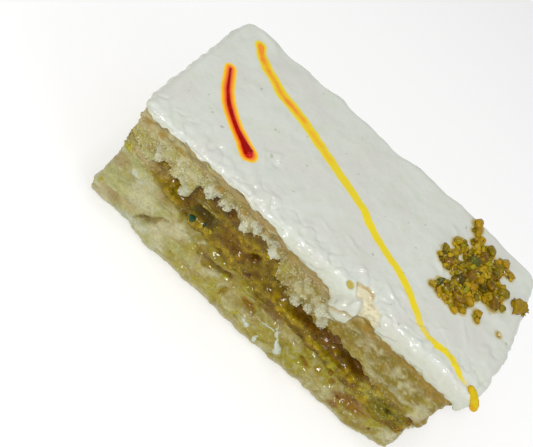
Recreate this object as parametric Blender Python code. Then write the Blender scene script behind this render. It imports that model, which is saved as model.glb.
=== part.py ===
"""A piece of malai cake: a bar cut from two slabs of soft milk cake with a saffron and
pistachio paste between them, under a thick coat of malai cream. The cream carries a heap
of crushed pistachio near one corner, a saffron strand and a drop of saffron paste.

The bar lies along X and rests on z = 0, with the side that shows the filling at -Y.
Lengths are written in millimetres and turned into metres when a mesh is made.
"""

import math
import random

import bmesh
import bpy
from mathutils import Matrix, Vector, noise

MM = 0.001

# The block of cake, before its sides bulge
LEFT, RIGHT = -40.0, 39.6
FRONT, BACK = -18.2, 18.8
CORNER_RADIUS, FAR_CORNER_RADIUS = 2.4, 4.6  # the bar has slumped at its far right corner
STEP_ALONG, STEP_ACROSS = 2.0, 5.0  # spacing of the cuts along and across the bar

# Heights over the table at mid length, and how fast the layers fall towards +X
FILLING_BASE = 11.3
FILLING_TOP = 19.2
LAYER_SLOPE = 0.10
CAKE_TOP = 28.0
CAKE_TOP_SLOPE = 0.02
ICING_TOP = 29.6
BOTTOM_LEVELS, FILLING_LEVELS = 5, 4  # rows of faces up each of the two lower layers

# Two neighbouring pieces keep this gap
GAP = 0.32
# A grid point this close to a side counts as on it
NEAR = 0.01

# The front side, as (x, height) along the bar: the paste is thick left of the middle
FRONT_FILLING_TOP = (
    (-40, 20.2), (-31, 20.8), (-21, 24.0), (-10, 23.6), (0, 20.6),
    (8, 18.4), (18, 16.8), (26, 13.8), (34, 12.6), (40, 11.2),
)
FRONT_FILLING_BASE = (
    (-40, 16.6), (-30, 15.0), (-20, 12.6), (-8, 11.0), (4, 10.2),
    (14, 8.8), (26, 8.0), (34, 6.6), (40, 7.6),
)
# How deep the paste lies behind the front side, as (x, depth)
FRONT_FILLING_RECESS = ((-40, 0.2), (-33, 0.5), (-30.5, 2.0), (22, 2.0), (26, 0.6), (40, 0.3))
# Distances in from the sides: the layers' boundaries keep one height up to the first, and
# are flat beyond the last
SIDE_ZONE = (2.4, 4.0, 5.6)
BASE_SEED, TOP_SEED = 11, 47  # which part of the noise each boundary takes its swells from
SWELL, SWELL_SIZE = 1.3, 7.0  # height and width of those swells where no edge is given
# Crumbly lobes of the upper slab that hang over the paste: (x, half width, drop)
CRUMB_LOBES = (
    (-26.0, 2.0, 3.6), (-18.4, 1.5, 1.2), (-12.2, 1.8, 2.2), (-4.8, 1.8, 2.0),
    (2.6, 2.4, 3.4), (7.8, 1.8, 2.0), (13.4, 1.6, 1.3), (19.2, 1.8, 1.2),
)
LOBE_THICKNESS = 1.3
LOBE_BACK = 0.3  # the slope behind the lobes is this wide
SHOULDER = 0.8  # the share of the upper slab's height at which it steps in under the cream
SHOULDER_DROP = 0.15

# The lower edge of the cream on each side, as (position along that side, height)
FRONT_LIP = (
    (-40, 28.3), (-34, 28.0), (-29, 28.2), (-20, 28.1), (-10, 27.8), (-3, 26.4), (6, 26.0),
    (8, 24.4), (10.5, 22.2), (13, 22.8), (15, 25.2), (22, 24.9), (30, 25.0), (40, 24.6),
)
LIP_LOW, LIP_HIGH = 23.4, 26.8  # the range of the other three sides
LIP_SWING, LIP_SEED = 2.7, 5
LIP_INSIDE = 0.7  # the hanging rim's inner face lies this far inside the block's sides
ICING_EDGE_RADIUS = 1.5

# The cream stands this far outside the block on each side
ICING_LEFT, ICING_RIGHT = 0.5, 1.7
ICING_FRONT, ICING_BACK = 0.4, 1.2
# The cream's rim wanders in and out from there: (position along that side, how far out)
BACK_EDGE = (
    (-40, -0.6), (-34, 0.2), (-28.5, -0.9), (-23, 0.0), (-20, -0.3), (-15, 0.7), (-12, 0.1),
    (-8, 0.4), (-3, -0.1), (1, -0.9), (7, 0.5), (11, 0.5), (16, -0.2), (20, 0.9), (27, 0.7),
    (31, -0.4), (36, -0.7), (40, -0.9),
)
RIGHT_EDGE = ((-19, -0.6), (-15.5, -1.1), (-12, -0.5), (-6, 0.4), (2, 0.4), (8, 0.0), (12, -0.5), (19, -0.3))
LEFT_EDGE = ((-18, 0.1), (8, 0.0), (14, -0.3), (19, -0.9))
EDGE_ZONE = 2.4  # the wander fades out within this distance of the rim
EDGE_LEAST = -1.1  # how far in the rim may come, so that it stays thick
# Low swells on the cream, each (height, width, which part of the noise)
ICING_SWELLS = ((0.28, 9.0, 21), (0.12, 4.0, 33))
TORN_PLACE = (12.5, 3.0, 2.6, 0.9)  # at the front edge: x, half length, half width, depth

# The lower slab sags outwards at its foot: (x, how far) along the front
FRONT_FOOT = ((-40, 1.0), (-33, 0.7), (-25, 2.1), (0, 2.7), (30, 2.6), (36, 1.0), (40, 0.4))
BACK_FOOT = 1.3
LEFT_FOOT, RIGHT_WAIST = 1.4, 1.3
FOOT_TUCK = 0.7  # the bottom edge turns in by this much at the table
FURROW_HEIGHT, FURROW_DEPTH = 8.3, 0.7

# Crushed pistachio: ellipses that make up the heap, as (x, y, half length, half width)
HEAP = ((28.0, 7.0, 7.2, 4.6), (28.6, 13.0, 6.2, 3.0), (22.8, 5.2, 3.6, 2.8), (25.6, -1.8, 4.6, 3.0))
CRUMB_COUNT = 58
CRUMB_SPACING = 1.35
CRUMB_RADIUS = (0.75, 1.25)
CRUMB_SEED = 7
STRAY_CRUMBS = ((24.4, 16.9, 1.4), (38.9, 7.4, 1.6), (32.2, -1.9, 0.9), (37.8, -1.9, 0.6))

# The saffron strand, as (x, y, radius), and a lump of saffron paste over the corner
STRAND = (
    (-34.8, 3.4, 0.30), (-33.0, 0.0, 0.32), (-30.6, -4.0, 0.38), (-27.6, -6.7, 0.45),
    (-24.4, -8.4, 0.52), (-22.2, -9.6, 0.75), (-20.6, -10.4, 0.95),
)
SAFFRON_LUMP = ((37.6, -16.9, 29.2, 0.8), (38.9, -17.8, 28.9, 0.9), (40.0, -18.4, 28.0, 0.9))


def along(points, x):
    """The value at x on a smooth line through (x, value) points."""
    if x <= points[0][0]:
        return points[0][1]
    for (x0, value0), (x1, value1) in zip(points, points[1:]):
        if x <= x1:
            share = (1 - math.cos(math.pi * (x - x0) / (x1 - x0))) / 2
            return value0 + share * (value1 - value0)
    return points[-1][1]


def ramp(value, start, end):
    """0 at start and before, 1 at end and after, smooth between them."""
    share = min(1.0, max(0.0, (value - start) / (end - start)))
    return share * share * (3 - 2 * share)


def wave(x, y, z, size):
    """Smooth unevenness from -1 to 1 whose bumps are about size across."""
    return noise.noise(Vector((x, y, z)) / size)


def bell(value, centre, half_width):
    """1 at centre, falling to nothing within about two half widths."""
    return math.exp(-(((value - centre) / half_width) ** 2))


def from_side(x, y):
    """How far inside the block a place in its plan is."""
    return min(x - LEFT, RIGHT - x, y - FRONT, BACK - y)


def near_front(y):
    return ramp(y, FRONT + SIDE_ZONE[2], FRONT + SIDE_ZONE[0])


def held_in(x, y):
    """A place moved in from the sides, so that heights read there don't change near a side."""
    margin = SIDE_ZONE[0]
    return (
        min(RIGHT - margin, max(LEFT + margin, x)),
        min(BACK - margin, max(FRONT + margin, y)),
    )


def boundary(x, y, height, front_points, seed):
    """The height of a face between two layers: flat inside, uneven where it meets a side."""
    x, y = held_in(x, y)
    inner = height - LAYER_SLOPE * x
    front = (along(front_points, x) - inner) * near_front(y)
    near_side = ramp(from_side(x, y), SIDE_ZONE[2], SIDE_ZONE[0])
    swell = SWELL * wave(x, y, seed, SWELL_SIZE) * near_side * (1 - near_front(y))
    return inner + front + swell


def filling_base(x, y):
    return boundary(x, y, FILLING_BASE, FRONT_FILLING_BASE, BASE_SEED)


def filling_top(x, y):
    return boundary(x, y, FILLING_TOP, FRONT_FILLING_TOP, TOP_SEED)


def cake_top(x):
    return CAKE_TOP - CAKE_TOP_SLOPE * x


def lip(x, y):
    """The height of the cream's lower edge at a place on its rim."""
    middle = (LIP_LOW + LIP_HIGH) / 2
    other = middle + LIP_SWING * wave(*held_in(x, y), LIP_SEED, SWELL_SIZE)
    return other + (along(FRONT_LIP, x) - other) * near_front(y)


def round_corner(x, y, low, high):
    """Moves a point of a rectangular plan onto one whose corners are rounded."""
    radius = FAR_CORNER_RADIUS if x > 0 and y > 0 else CORNER_RADIUS
    inner = Vector((
        min(high[0] - radius, max(low[0] + radius, x)),
        min(high[1] - radius, max(low[1] + radius, y)),
    ))
    out = Vector((x, y)) - inner
    if out.length < 1e-9:
        return x, y
    return tuple(inner + out * (max(abs(out.x), abs(out.y)) / out.length))


def side_bulge(x, y, z):
    """How far the cake's side stands out at a point on it, as (along x, along y)."""
    foot = ramp(z, FILLING_BASE, 2.0)
    tuck = FOOT_TUCK * ramp(z, 0.9, 0.0)
    furrow = FURROW_DEPTH * bell(z, FURROW_HEIGHT + wave(x, y, 3, 18.0), 0.8)
    rough = 0.45 * wave(x, y, z, 2.6) + 0.35 * wave(x, y, z, 6.5)
    front = along(FRONT_FOOT, x) * foot - furrow * ramp(x, -22, -14) * ramp(x, 12, 4)
    back = BACK_FOOT * foot - 0.5 * furrow
    left = LEFT_FOOT * foot
    waist = bell(z, 19.5, 5.0) + 0.6 * bell(z, 7.0, 2.6)
    right = -RIGHT_WAIST * waist
    return (
        (right if x > 0 else left) + rough - tuck,
        (front if y < 0 else back) + rough - tuck,
    )


def moved_out(x, y, z, across, over):
    """A grid point in its place: on the rounded plan, and out from the side if it is on one."""
    at_end = min(x - LEFT, RIGHT - x) < NEAR
    at_side = min(y - FRONT, BACK - y) < NEAR
    plan = round_corner(x, y, (LEFT, FRONT), (RIGHT, BACK))
    return (
        plan[0] + across * at_end * math.copysign(1, x),
        plan[1] + over * at_side * math.copysign(1, y),
        z,
    )


def stations(low, high, margins, step, overhangs=(0.0, 0.0)):
    """Cuts from low to high: at the margins inside each end, every step between them, and
    at any overhang beyond the ends."""
    first, last = low + margins[-1], high - margins[-1]
    count = max(1, round((last - first) / step))
    near_low = [low - overhangs[0]] + [low + margin for margin in margins]
    middle = [first + (last - first) * k / count for k in range(1, count)]
    near_high = [high - margin for margin in reversed(margins)] + [high + overhangs[1]]
    return near_low + middle + near_high


def cut_box(xs, ys, zs):
    """A box cut into a grid of faces at the given stations along each axis."""
    mesh = bmesh.new()
    low, high = Vector((xs[0], ys[0], zs[0])), Vector((xs[-1], ys[-1], zs[-1]))
    place = Matrix.Translation((low + high) / 2) @ Matrix.Diagonal((*(high - low), 1))
    bmesh.ops.create_cube(mesh, size=1, matrix=place)
    for axis, cuts in enumerate((xs, ys, zs)):
        normal = Vector([float(axis == k) for k in range(3)])
        for cut in cuts[1:-1]:
            everything = mesh.verts[:] + mesh.edges[:] + mesh.faces[:]
            bmesh.ops.bisect_plane(mesh, geom=everything, plane_co=normal * cut, plane_no=normal)
    return mesh


def material(name, colour, roughness):
    made = bpy.data.materials.new(name)
    made.use_nodes = True
    shader = made.node_tree.nodes["Principled BSDF"]
    shader.inputs["Base Color"].default_value = (*colour, 1)
    shader.inputs["Roughness"].default_value = roughness
    shader.inputs["Metallic"].default_value = 0.0
    return made


def finish(mesh, name, finish_material, collection):
    """Turns a grid in millimetres into an object in metres with its own material."""
    bmesh.ops.scale(mesh, vec=(MM, MM, MM), verts=mesh.verts)
    data = bpy.data.meshes.new(name)
    mesh.to_mesh(data)
    mesh.free()
    data.shade_smooth()
    data.set_sharp_from_angle(angle=math.radians(50))
    data.materials.append(finish_material)
    made = bpy.data.objects.new(name, data)
    collection.objects.link(made)
    return made


def merge_flat_faces(made):
    flatten = made.modifiers.new("Merge flat faces", "DECIMATE")
    flatten.decimate_type = "DISSOLVE"
    flatten.angle_limit = math.radians(0.3)


def layer(name, low_face, high_face, levels, recess, finish_material, collection):
    """One layer of cake between two boundary faces, with bulging uneven sides."""
    xs = stations(LEFT, RIGHT, SIDE_ZONE, STEP_ALONG)
    ys = stations(FRONT, BACK, SIDE_ZONE, STEP_ACROSS)
    mesh = cut_box(xs, ys, [k / levels for k in range(levels + 1)])
    for vert in mesh.verts:
        x, y, share = vert.co
        low, high = low_face(x, y), high_face(x, y)
        z = low + share * (high - low)
        across, over = side_bulge(x, y, z)
        if y < 0:
            depth = recess(x)
            over = over * (1 - 0.35 * min(depth, 2.0)) - depth
        vert.co = moved_out(x, y, z, across, over)
    return finish(mesh, name, finish_material, collection)


def bottom_layer(finish_material, collection):
    return layer(
        "bottom_layer",
        lambda x, y: 0.0,
        lambda x, y: filling_base(x, y) - GAP / 2,
        BOTTOM_LEVELS,
        lambda x: 0.0,
        finish_material,
        collection,
    )


def filling(finish_material, collection):
    return layer(
        "filling",
        lambda x, y: filling_base(x, y) + GAP / 2,
        lambda x, y: filling_top(x, y) - GAP / 2,
        FILLING_LEVELS,
        lambda x: along(FRONT_FILLING_RECESS, x),
        finish_material,
        collection,
    )


def lobe_drop(x):
    return max(drop * bell(x, centre, half_width) for centre, half_width, drop in CRUMB_LOBES)


def top_layer(finish_material, collection):
    """The upper slab. Its lower front edge hangs in crumbly lobes, and its upper edge steps
    in all round, under the rim of the cream."""
    step_in = LIP_INSIDE + GAP
    margins = (LOBE_THICKNESS, LOBE_THICKNESS + LOBE_BACK, *SIDE_ZONE)
    xs = stations(LEFT, RIGHT, margins, STEP_ALONG)
    ys = stations(FRONT, BACK, margins, STEP_ACROSS)
    levels = [0, 0.28, 0.54, SHOULDER, 0.86, 1.0]
    mesh = cut_box(xs, ys, levels)
    for vert in mesh.verts:
        x, y, share = vert.co
        low = filling_top(x, y) + GAP / 2
        if y < FRONT + LOBE_THICKNESS + NEAR:
            low -= lobe_drop(x)
        shoulder_height = lip(x, y) - GAP - SHOULDER_DROP
        if share >= 1:
            z = cake_top(x) - GAP / 2
        elif share > SHOULDER:
            z = lip(x, y) - GAP
        else:
            z = low + (shoulder_height - low) * share / SHOULDER
        across, over = side_bulge(x, y, z)
        if share > SHOULDER:
            across = over = -step_in
        vert.co = moved_out(x, y, z, across, over)
    return finish(mesh, "top_layer", finish_material, collection)


def icing_surface(x, y):
    """The height of the cream's top, with its low swells and the torn place at the front."""
    torn_x, half_length, half_width, depth = TORN_PLACE
    torn = depth * bell(x, torn_x, half_length) * bell(y, FRONT, half_width)
    return ICING_TOP - torn + sum(height * wave(x, y, z, size) for height, size, z in ICING_SWELLS)


def icing(finish_material, collection):
    """The coat of cream: a lid whose rim hangs down round the upper slab."""
    low = (LEFT - ICING_LEFT, FRONT - ICING_FRONT)
    high = (RIGHT + ICING_RIGHT, BACK + ICING_BACK)
    margins = (LIP_INSIDE, LIP_INSIDE + 0.12, 2.4)
    xs = stations(LEFT, RIGHT, margins, STEP_ALONG, (ICING_LEFT, ICING_RIGHT))
    ys = stations(FRONT, BACK, margins, 4.0, (ICING_FRONT, ICING_BACK))
    levels = [0, 0.5, 0.85, 1]
    mesh = cut_box(xs, ys, levels)
    for vert in mesh.verts:
        x, y, share = vert.co
        outermost = min(x - low[0], high[0] - x, y - low[1], high[1] - y) < NEAR
        inside = from_side(x, y) > LIP_INSIDE + 0.06
        under = cake_top(x) + GAP / 2 if inside else lip(x, y)
        top = icing_surface(x, y)
        z = under + share * (top - under)
        inner = Vector((
            min(high[0] - ICING_EDGE_RADIUS, max(low[0] + ICING_EDGE_RADIUS, x)),
            min(high[1] - ICING_EDGE_RADIUS, max(low[1] + ICING_EDGE_RADIUS, y)),
            min(top - ICING_EDGE_RADIUS, z),
        ))
        out = Vector((x, y, z)) - inner
        if out.length > 1e-9 and share > 0:
            x, y, z = inner + out * (max(abs(k) for k in out) / out.length)
        x, y = round_corner(x, y, low, high)
        if outermost:
            ripple = 0.35 * wave(x, y, z, 4.5) + 0.3 * wave(x, y, 2, 9.0)
            end = along(RIGHT_EDGE if x > 0 else LEFT_EDGE, y)
            side = along(BACK_EDGE, x) if y > 0 else 0
            at_end = max(0, 1 - min(x - low[0], high[0] - x) / EDGE_ZONE)
            at_side = max(0, 1 - min(y - low[1], high[1] - y) / EDGE_ZONE)
            x += math.copysign(at_end, x) * max(EDGE_LEAST, ripple + end)
            y += math.copysign(at_side, y) * max(EDGE_LEAST, ripple + side)
        vert.co = (x, y, z)
    return finish(mesh, "malai_topping", finish_material, collection)


def inside_heap(x, y):
    return any(((x - cx) / a) ** 2 + ((y - cy) / b) ** 2 < 1 for cx, cy, a, b in HEAP)


def crumb_places():
    """Where the pistachio crumbs lie, as (x, y, radius): spread through the heap by a seeded
    draw that keeps them a crumb apart, then the stray ones."""
    draw = random.Random(CRUMB_SEED)
    places = []
    while len(places) < CRUMB_COUNT:
        x, y = draw.uniform(19, 37), draw.uniform(-6, 17)
        apart = all(math.dist((x, y), place[:2]) > CRUMB_SPACING for place in places)
        if inside_heap(x, y) and apart:
            places.append((x, y, draw.uniform(*CRUMB_RADIUS)))
    return places + list(STRAY_CRUMBS)


def crumb(index, x, y, radius, cutters):
    """One angular crumb, half sunk in the cream."""
    draw = random.Random(100 + index)
    mesh = bmesh.new()
    bmesh.ops.create_icosphere(mesh, subdivisions=1, radius=radius)
    for vert in mesh.verts:
        vert.co *= draw.uniform(0.82, 1.15)
    spin = Matrix.Rotation(draw.uniform(0, math.tau), 4, "Z")
    tilt = Matrix.Rotation(draw.uniform(-0.5, 0.5), 4, "X")
    flat = Matrix.Diagonal((draw.uniform(0.85, 1.25), draw.uniform(0.75, 1.0), 0.8, 1))
    place = Matrix.Translation((x, y, icing_surface(x, y) + 0.15 * radius))
    whole = Matrix.Scale(MM, 4) @ place @ spin @ tilt @ flat
    bmesh.ops.transform(mesh, matrix=whole, verts=mesh.verts)
    return helper(mesh, f"crumb_{index}", cutters)


def helper(mesh, name, cutters):
    data = bpy.data.meshes.new(name)
    mesh.to_mesh(data)
    mesh.free()
    made = bpy.data.objects.new(name, data)
    cutters.objects.link(made)
    made.hide_render = True
    made.display_type = "WIRE"
    return made


def strand(cutters):
    """The saffron strand, a tapering tube along a smooth line, half sunk in the cream."""
    curve = bpy.data.curves.new("strand_line", "CURVE")
    curve.dimensions = "3D"
    curve.bevel_depth = MM
    curve.bevel_resolution = 1
    curve.use_fill_caps = True
    line = curve.splines.new("NURBS")
    line.points.add(len(STRAND) - 1)
    line.use_endpoint_u = True
    line.order_u = 3
    line.resolution_u = 3
    for point, (x, y, radius) in zip(line.points, STRAND):
        point.co = (x * MM, y * MM, icing_surface(x, y) * MM, 1)
        point.radius = radius
    guide = bpy.data.objects.new("strand_line", curve)
    cutters.objects.link(guide)
    graph = bpy.context.evaluated_depsgraph_get()
    data = bpy.data.meshes.new_from_object(guide.evaluated_get(graph))
    bpy.data.objects.remove(guide)
    mesh = bmesh.new()
    mesh.from_mesh(data)
    bmesh.ops.remove_doubles(mesh, verts=mesh.verts, dist=0.01 * MM)
    return helper(mesh, "strand", cutters)


def saffron_lump(cutters):
    made = []
    for index, (x, y, z, radius) in enumerate(SAFFRON_LUMP):
        mesh = bmesh.new()
        place = Matrix.Scale(MM, 4) @ Matrix.Translation((x, y, z))
        bmesh.ops.create_icosphere(mesh, subdivisions=1, radius=radius, matrix=place)
        made.append(helper(mesh, f"saffron_{index}", cutters))
    return made


def fuse(target, cutters):
    """Joins all that lies on the cream to it, as one solid, and removes the loose copies."""
    join = target.modifiers.new("Fuse toppings", "BOOLEAN")
    join.operation = "UNION"
    join.operand_type = "COLLECTION"
    join.collection = cutters
    join.solver = "EXACT"
    bpy.context.view_layer.update()
    graph = bpy.context.evaluated_depsgraph_get()
    data = bpy.data.meshes.new_from_object(target.evaluated_get(graph))
    target.modifiers.clear()
    target.data = data
    for loose in list(cutters.objects):
        bpy.data.objects.remove(loose)
    bpy.data.collections.remove(cutters)


def main():
    for old in list(bpy.data.objects):
        bpy.data.objects.remove(old)
    collection = bpy.data.collections.new("malai_cake")
    cutters = bpy.data.collections.new("toppings")
    bpy.context.scene.collection.children.link(collection)
    bpy.context.scene.collection.children.link(cutters)

    cake = material("milk_cake", (0.52, 0.50, 0.28), 0.65)
    paste = material("saffron_paste", (0.24, 0.15, 0.01), 0.4)
    cream = material("malai", (0.66, 0.69, 0.62), 0.25)
    layers = [
        bottom_layer(cake, collection),
        filling(paste, collection),
        top_layer(cake, collection),
    ]
    coat = icing(cream, collection)

    for index, (x, y, radius) in enumerate(crumb_places()):
        crumb(index, x, y, radius, cutters)
    strand(cutters)
    saffron_lump(cutters)
    fuse(coat, cutters)
    for made in [*layers, coat]:
        merge_flat_faces(made)


main()
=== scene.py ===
# %% [markdown]
# # A piece of malai cake
# Malai cake is a soft milk sweet. Two slabs of cake are pressed together over a saffron and
# nut paste, coated with thick cream (the malai), decorated and cut into bars. This lesson
# dresses such a bar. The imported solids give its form, and each cell replaces one of them
# with a piece that has the real crumb, grain, gloss and stains.

import math
import random

import bmesh
import bpy
import numpy as np
from mathutils import Matrix, Quaternion, Vector, noise


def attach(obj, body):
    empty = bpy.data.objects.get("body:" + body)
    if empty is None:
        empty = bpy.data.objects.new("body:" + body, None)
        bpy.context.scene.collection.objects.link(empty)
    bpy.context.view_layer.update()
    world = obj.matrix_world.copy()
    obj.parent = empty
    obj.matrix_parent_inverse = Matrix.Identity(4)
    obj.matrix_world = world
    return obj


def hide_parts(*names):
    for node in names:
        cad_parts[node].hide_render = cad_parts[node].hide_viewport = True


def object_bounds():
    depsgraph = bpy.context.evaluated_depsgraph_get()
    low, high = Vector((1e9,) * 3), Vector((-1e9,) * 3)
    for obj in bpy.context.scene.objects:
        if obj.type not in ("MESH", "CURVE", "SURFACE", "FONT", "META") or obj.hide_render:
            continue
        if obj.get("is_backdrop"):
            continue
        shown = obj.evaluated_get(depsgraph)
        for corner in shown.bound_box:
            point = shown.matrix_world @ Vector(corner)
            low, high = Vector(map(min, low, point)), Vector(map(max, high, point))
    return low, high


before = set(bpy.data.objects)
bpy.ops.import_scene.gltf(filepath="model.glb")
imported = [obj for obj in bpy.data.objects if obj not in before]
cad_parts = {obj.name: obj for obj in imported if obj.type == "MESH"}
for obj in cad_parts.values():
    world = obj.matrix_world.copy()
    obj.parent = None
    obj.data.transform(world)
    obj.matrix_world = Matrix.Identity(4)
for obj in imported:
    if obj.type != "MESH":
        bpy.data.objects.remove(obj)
cad_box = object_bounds()
MM = 0.001
print("solids:", sorted(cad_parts))

# %% [markdown]
# ## Camera, light and floor
# The photograph was taken from above the long side, with the camera turned, so that the bar
# runs down the picture. The camera is placed by the point that it looks at, its direction
# and its roll, which are easier to match to a picture than three angles of rotation.

# %% Camera
AIM = Vector((-9.4, -7.2, 15.0)) * MM
AZIMUTH, ELEVATION, ROLL = math.radians(1.6), math.radians(48.0), math.radians(43.0)
DISTANCE = 173.3 * MM
LENS = 58.7

look = Vector((
    math.sin(AZIMUTH) * math.cos(ELEVATION),
    math.cos(AZIMUTH) * math.cos(ELEVATION),
    -math.sin(ELEVATION),
))
bpy.ops.object.camera_add(location=AIM - look * DISTANCE)
camera = bpy.context.object
camera.rotation_mode = "QUATERNION"
camera.rotation_quaternion = look.to_track_quat("-Z", "Y") @ Quaternion((0, 0, 1), ROLL)
camera.data.lens = LENS
camera.data.clip_start, camera.data.clip_end = 0.01, 10
bpy.context.scene.camera = camera
bpy.context.scene.view_settings.view_transform = "Standard"
print("camera height in mm:", round(camera.location.z / MM))

# %% [markdown]
# The lamps make the cream look wet. A small bright one behind the camera gives the glints on
# the front rim, a wide one fills the hollow from the right, and one overhead lights the top.
# The sky is plain white and strong, so that the shadows stay pale and nothing is tinted.

# %% Lamps and sky
LAMPS = (
    # name, place and aim in mm, size in mm, power
    ("window", (-70, -330, 400), (0, -10, 15), (120, 60), 1.42),
    ("fill", (420, -160, 260), (0, 0, 15), (300, 300), 0.25),
    ("overhead", (10, 30, 520), (0, -10, 25), (130, 50), 0.29),
)
SKY_STRENGTH = 0.5


def lamp(name, place, aim, size, power):
    bpy.ops.object.light_add(type="AREA", location=Vector(place) * MM)
    made = bpy.context.object
    made.name = name
    made.data.shape = "RECTANGLE"
    made.data.size, made.data.size_y = size[0] * MM, size[1] * MM
    made.data.energy = power
    direction = Vector(aim) - Vector(place)
    made.rotation_euler = direction.to_track_quat("-Z", "Y").to_euler()


for row in LAMPS:
    lamp(*row)
sky = bpy.data.worlds.new("sky")
sky.use_nodes = True
sky.node_tree.nodes["Background"].inputs["Color"].default_value = (1, 1, 1, 1)
sky.node_tree.nodes["Background"].inputs["Strength"].default_value = SKY_STRENGTH
bpy.context.scene.world = sky
print("lamps:", len(LAMPS), "under a sky of strength", SKY_STRENGTH)

# %% [markdown]
# ## Finishes
# Every finish is built from the same few nodes. Colour comes from an attribute painted on
# the mesh, where large stains and layers belong. Fine mottling, gloss and grain come from
# noise on object coordinates, which keeps its size in millimetres and needs no unwrapping.
# The nodes could be wired by hand in the shader editor. A small class wires them here, so
# that each finish reads as a few lines.

# %% Helpers for finishes
FIBRE_TURN = math.radians(12)
MILK_RADIUS = (1.0, 0.8, 0.5)  # red light travels furthest inside milk


class Finish:
    """A material in the making: its nodes, its links and its shader."""

    def __init__(self, name):
        self.material = bpy.data.materials.new(name)
        self.material.use_nodes = True
        tree = self.material.node_tree
        self.nodes, self.links = tree.nodes, tree.links
        self.shader = tree.nodes["Principled BSDF"]

    def put(self, value, socket):
        """Sets an input: links it to another socket, or gives it a constant."""
        if isinstance(value, bpy.types.NodeSocket):
            self.links.new(value, socket)
        elif socket.type == "RGBA":
            socket.default_value = (*value, 1)
        else:
            socket.default_value = value

    def put_all(self, node, settings):
        for name, value in settings.items():
            self.put(value, node.inputs[name])

    def noise(self, size, detail=3.0, roughness=0.55, squash=None):
        """Noise on object coordinates with features about size mm across. A squash draws it
        out along the bar, for fibres and knife marks."""
        place = self.nodes.new("ShaderNodeTexCoord").outputs["Object"]
        if squash:
            turned = self.nodes.new("ShaderNodeMapping")
            turns = {"Vector": place, "Scale": (1, 1, squash), "Rotation": (0, FIBRE_TURN, 0)}
            self.put_all(turned, turns)
            place = turned.outputs["Vector"]
        made = self.nodes.new("ShaderNodeTexNoise")
        scale = 1 / (size * MM)
        self.put_all(made, {"Vector": place, "Scale": scale, "Detail": detail, "Roughness": roughness})
        return made.outputs["Fac"]

    def fit(self, value, low, high, to_low, to_high):
        """A value moved from one range to another, held inside it."""
        made = self.nodes.new("ShaderNodeMapRange")
        self.put_all(made, {
            "Value": value, "From Min": low, "From Max": high, "To Min": to_low, "To Max": to_high,
        })
        return made.outputs["Result"]

    def tint(self, colour, factor, other, blend="MIX"):
        """Mixes other, a colour or a socket, over a colour by a factor."""
        made = self.nodes.new("ShaderNodeMix")
        made.data_type = "RGBA"
        made.blend_type = blend
        for index, value in ((0, factor), (6, colour), (7, other)):
            self.put(value, made.inputs[index])
        return made.outputs[2]

    def stored(self, name, output="Fac"):
        """What the mesh stores on its points under a name."""
        made = self.nodes.new("ShaderNodeAttribute")
        made.attribute_name = name
        return made.outputs[output]

    def combined(self, first, second, operation):
        made = self.nodes.new("ShaderNodeMath")
        made.operation = operation
        self.put(first, made.inputs[0])
        self.put(second, made.inputs[1])
        return made.outputs[0]

    def done(self, colour, roughness, specular, coat, soaking, relief):
        """Sets the shader, and returns the material. The coat is its weight and roughness. The
        soaking is the share of light that enters the food, and how far in mm it travels there.
        The relief is the socket and the height in mm of the finest grain."""
        grain = self.nodes.new("ShaderNodeBump")
        self.put_all(grain, {"Height": relief[0], "Distance": relief[1] * MM, "Strength": 1.0})
        self.put_all(self.shader, {
            "Base Color": colour, "Roughness": roughness, "Specular IOR Level": specular,
            "Coat Weight": coat[0], "Coat Roughness": coat[1],
            "Subsurface Weight": soaking[0], "Subsurface Radius": MILK_RADIUS,
            "Subsurface Scale": soaking[1] * MM, "Normal": grain.outputs["Normal"],
        })
        return self.material


print("fibres lie at", round(math.degrees(FIBRE_TURN)), "degrees to the table")

# %% Floor
FLOOR_SIZE = 4
bpy.ops.mesh.primitive_plane_add(size=FLOOR_SIZE)
floor = bpy.context.object
floor.name = "floor"
sheet = Finish("floor")
sheet.put_all(sheet.shader, {
    "Base Color": (0.95, 0.95, 0.95), "Roughness": 0.9,
    "Emission Color": (1, 1, 1), "Emission Strength": 0.05,
})
floor.data.materials.append(sheet.material)
floor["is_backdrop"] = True
print("floor:", FLOOR_SIZE, "m wide")

# %% [markdown]
# ## The form of the bar
# These are the sizes of the solids, in millimetres: the block of cake, the heights of its
# layers, and where each boundary comes out at a side. A list runs along one side of the bar,
# as pairs of a place and the height or the distance there. The dressed pieces take the same
# sizes, so that they keep the form of the solids.

# %% Sizes shared with the solids
LEFT, RIGHT = -40.0, 39.6
FRONT, BACK = -18.2, 18.8
CORNER_RADIUS, FAR_CORNER_RADIUS = 2.4, 4.6
FILLING_BASE, FILLING_TOP = 11.3, 19.2
LAYER_SLOPE = 0.10
CAKE_TOP, CAKE_TOP_SLOPE = 28.0, 0.02
ICING_TOP = 29.6
NEAR = 0.01
FRONT_FILLING_TOP = (
    (-40, 20.2), (-31, 20.8), (-21, 24.0), (-10, 23.6), (0, 20.6),
    (8, 18.4), (18, 16.8), (26, 13.8), (34, 12.6), (40, 11.2),
)
FRONT_FILLING_BASE = (
    (-40, 16.6), (-30, 15.0), (-20, 12.6), (-8, 11.0), (4, 10.2),
    (14, 8.8), (26, 8.0), (34, 6.6), (40, 7.6),
)
FRONT_FILLING_RECESS = ((-40, 0.2), (-33, 0.5), (-30.5, 2.0), (22, 2.0), (26, 0.6), (40, 0.3))
SIDE_ZONE = (2.4, 4.0, 5.6)
FRONT_LIP = (
    (-40, 28.3), (-34, 28.0), (-29, 28.2), (-20, 28.1), (-10, 27.8), (-3, 26.4), (6, 26.0),
    (8, 24.4), (10.5, 22.2), (13, 22.8), (15, 25.2), (22, 24.9), (30, 25.0), (40, 24.6),
)
LIP_LOW, LIP_HIGH, LIP_SWING = 23.4, 26.8, 2.7
SWELL, SWELL_SIZE = 1.3, 7.0
LIP_INSIDE = 0.7
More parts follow.
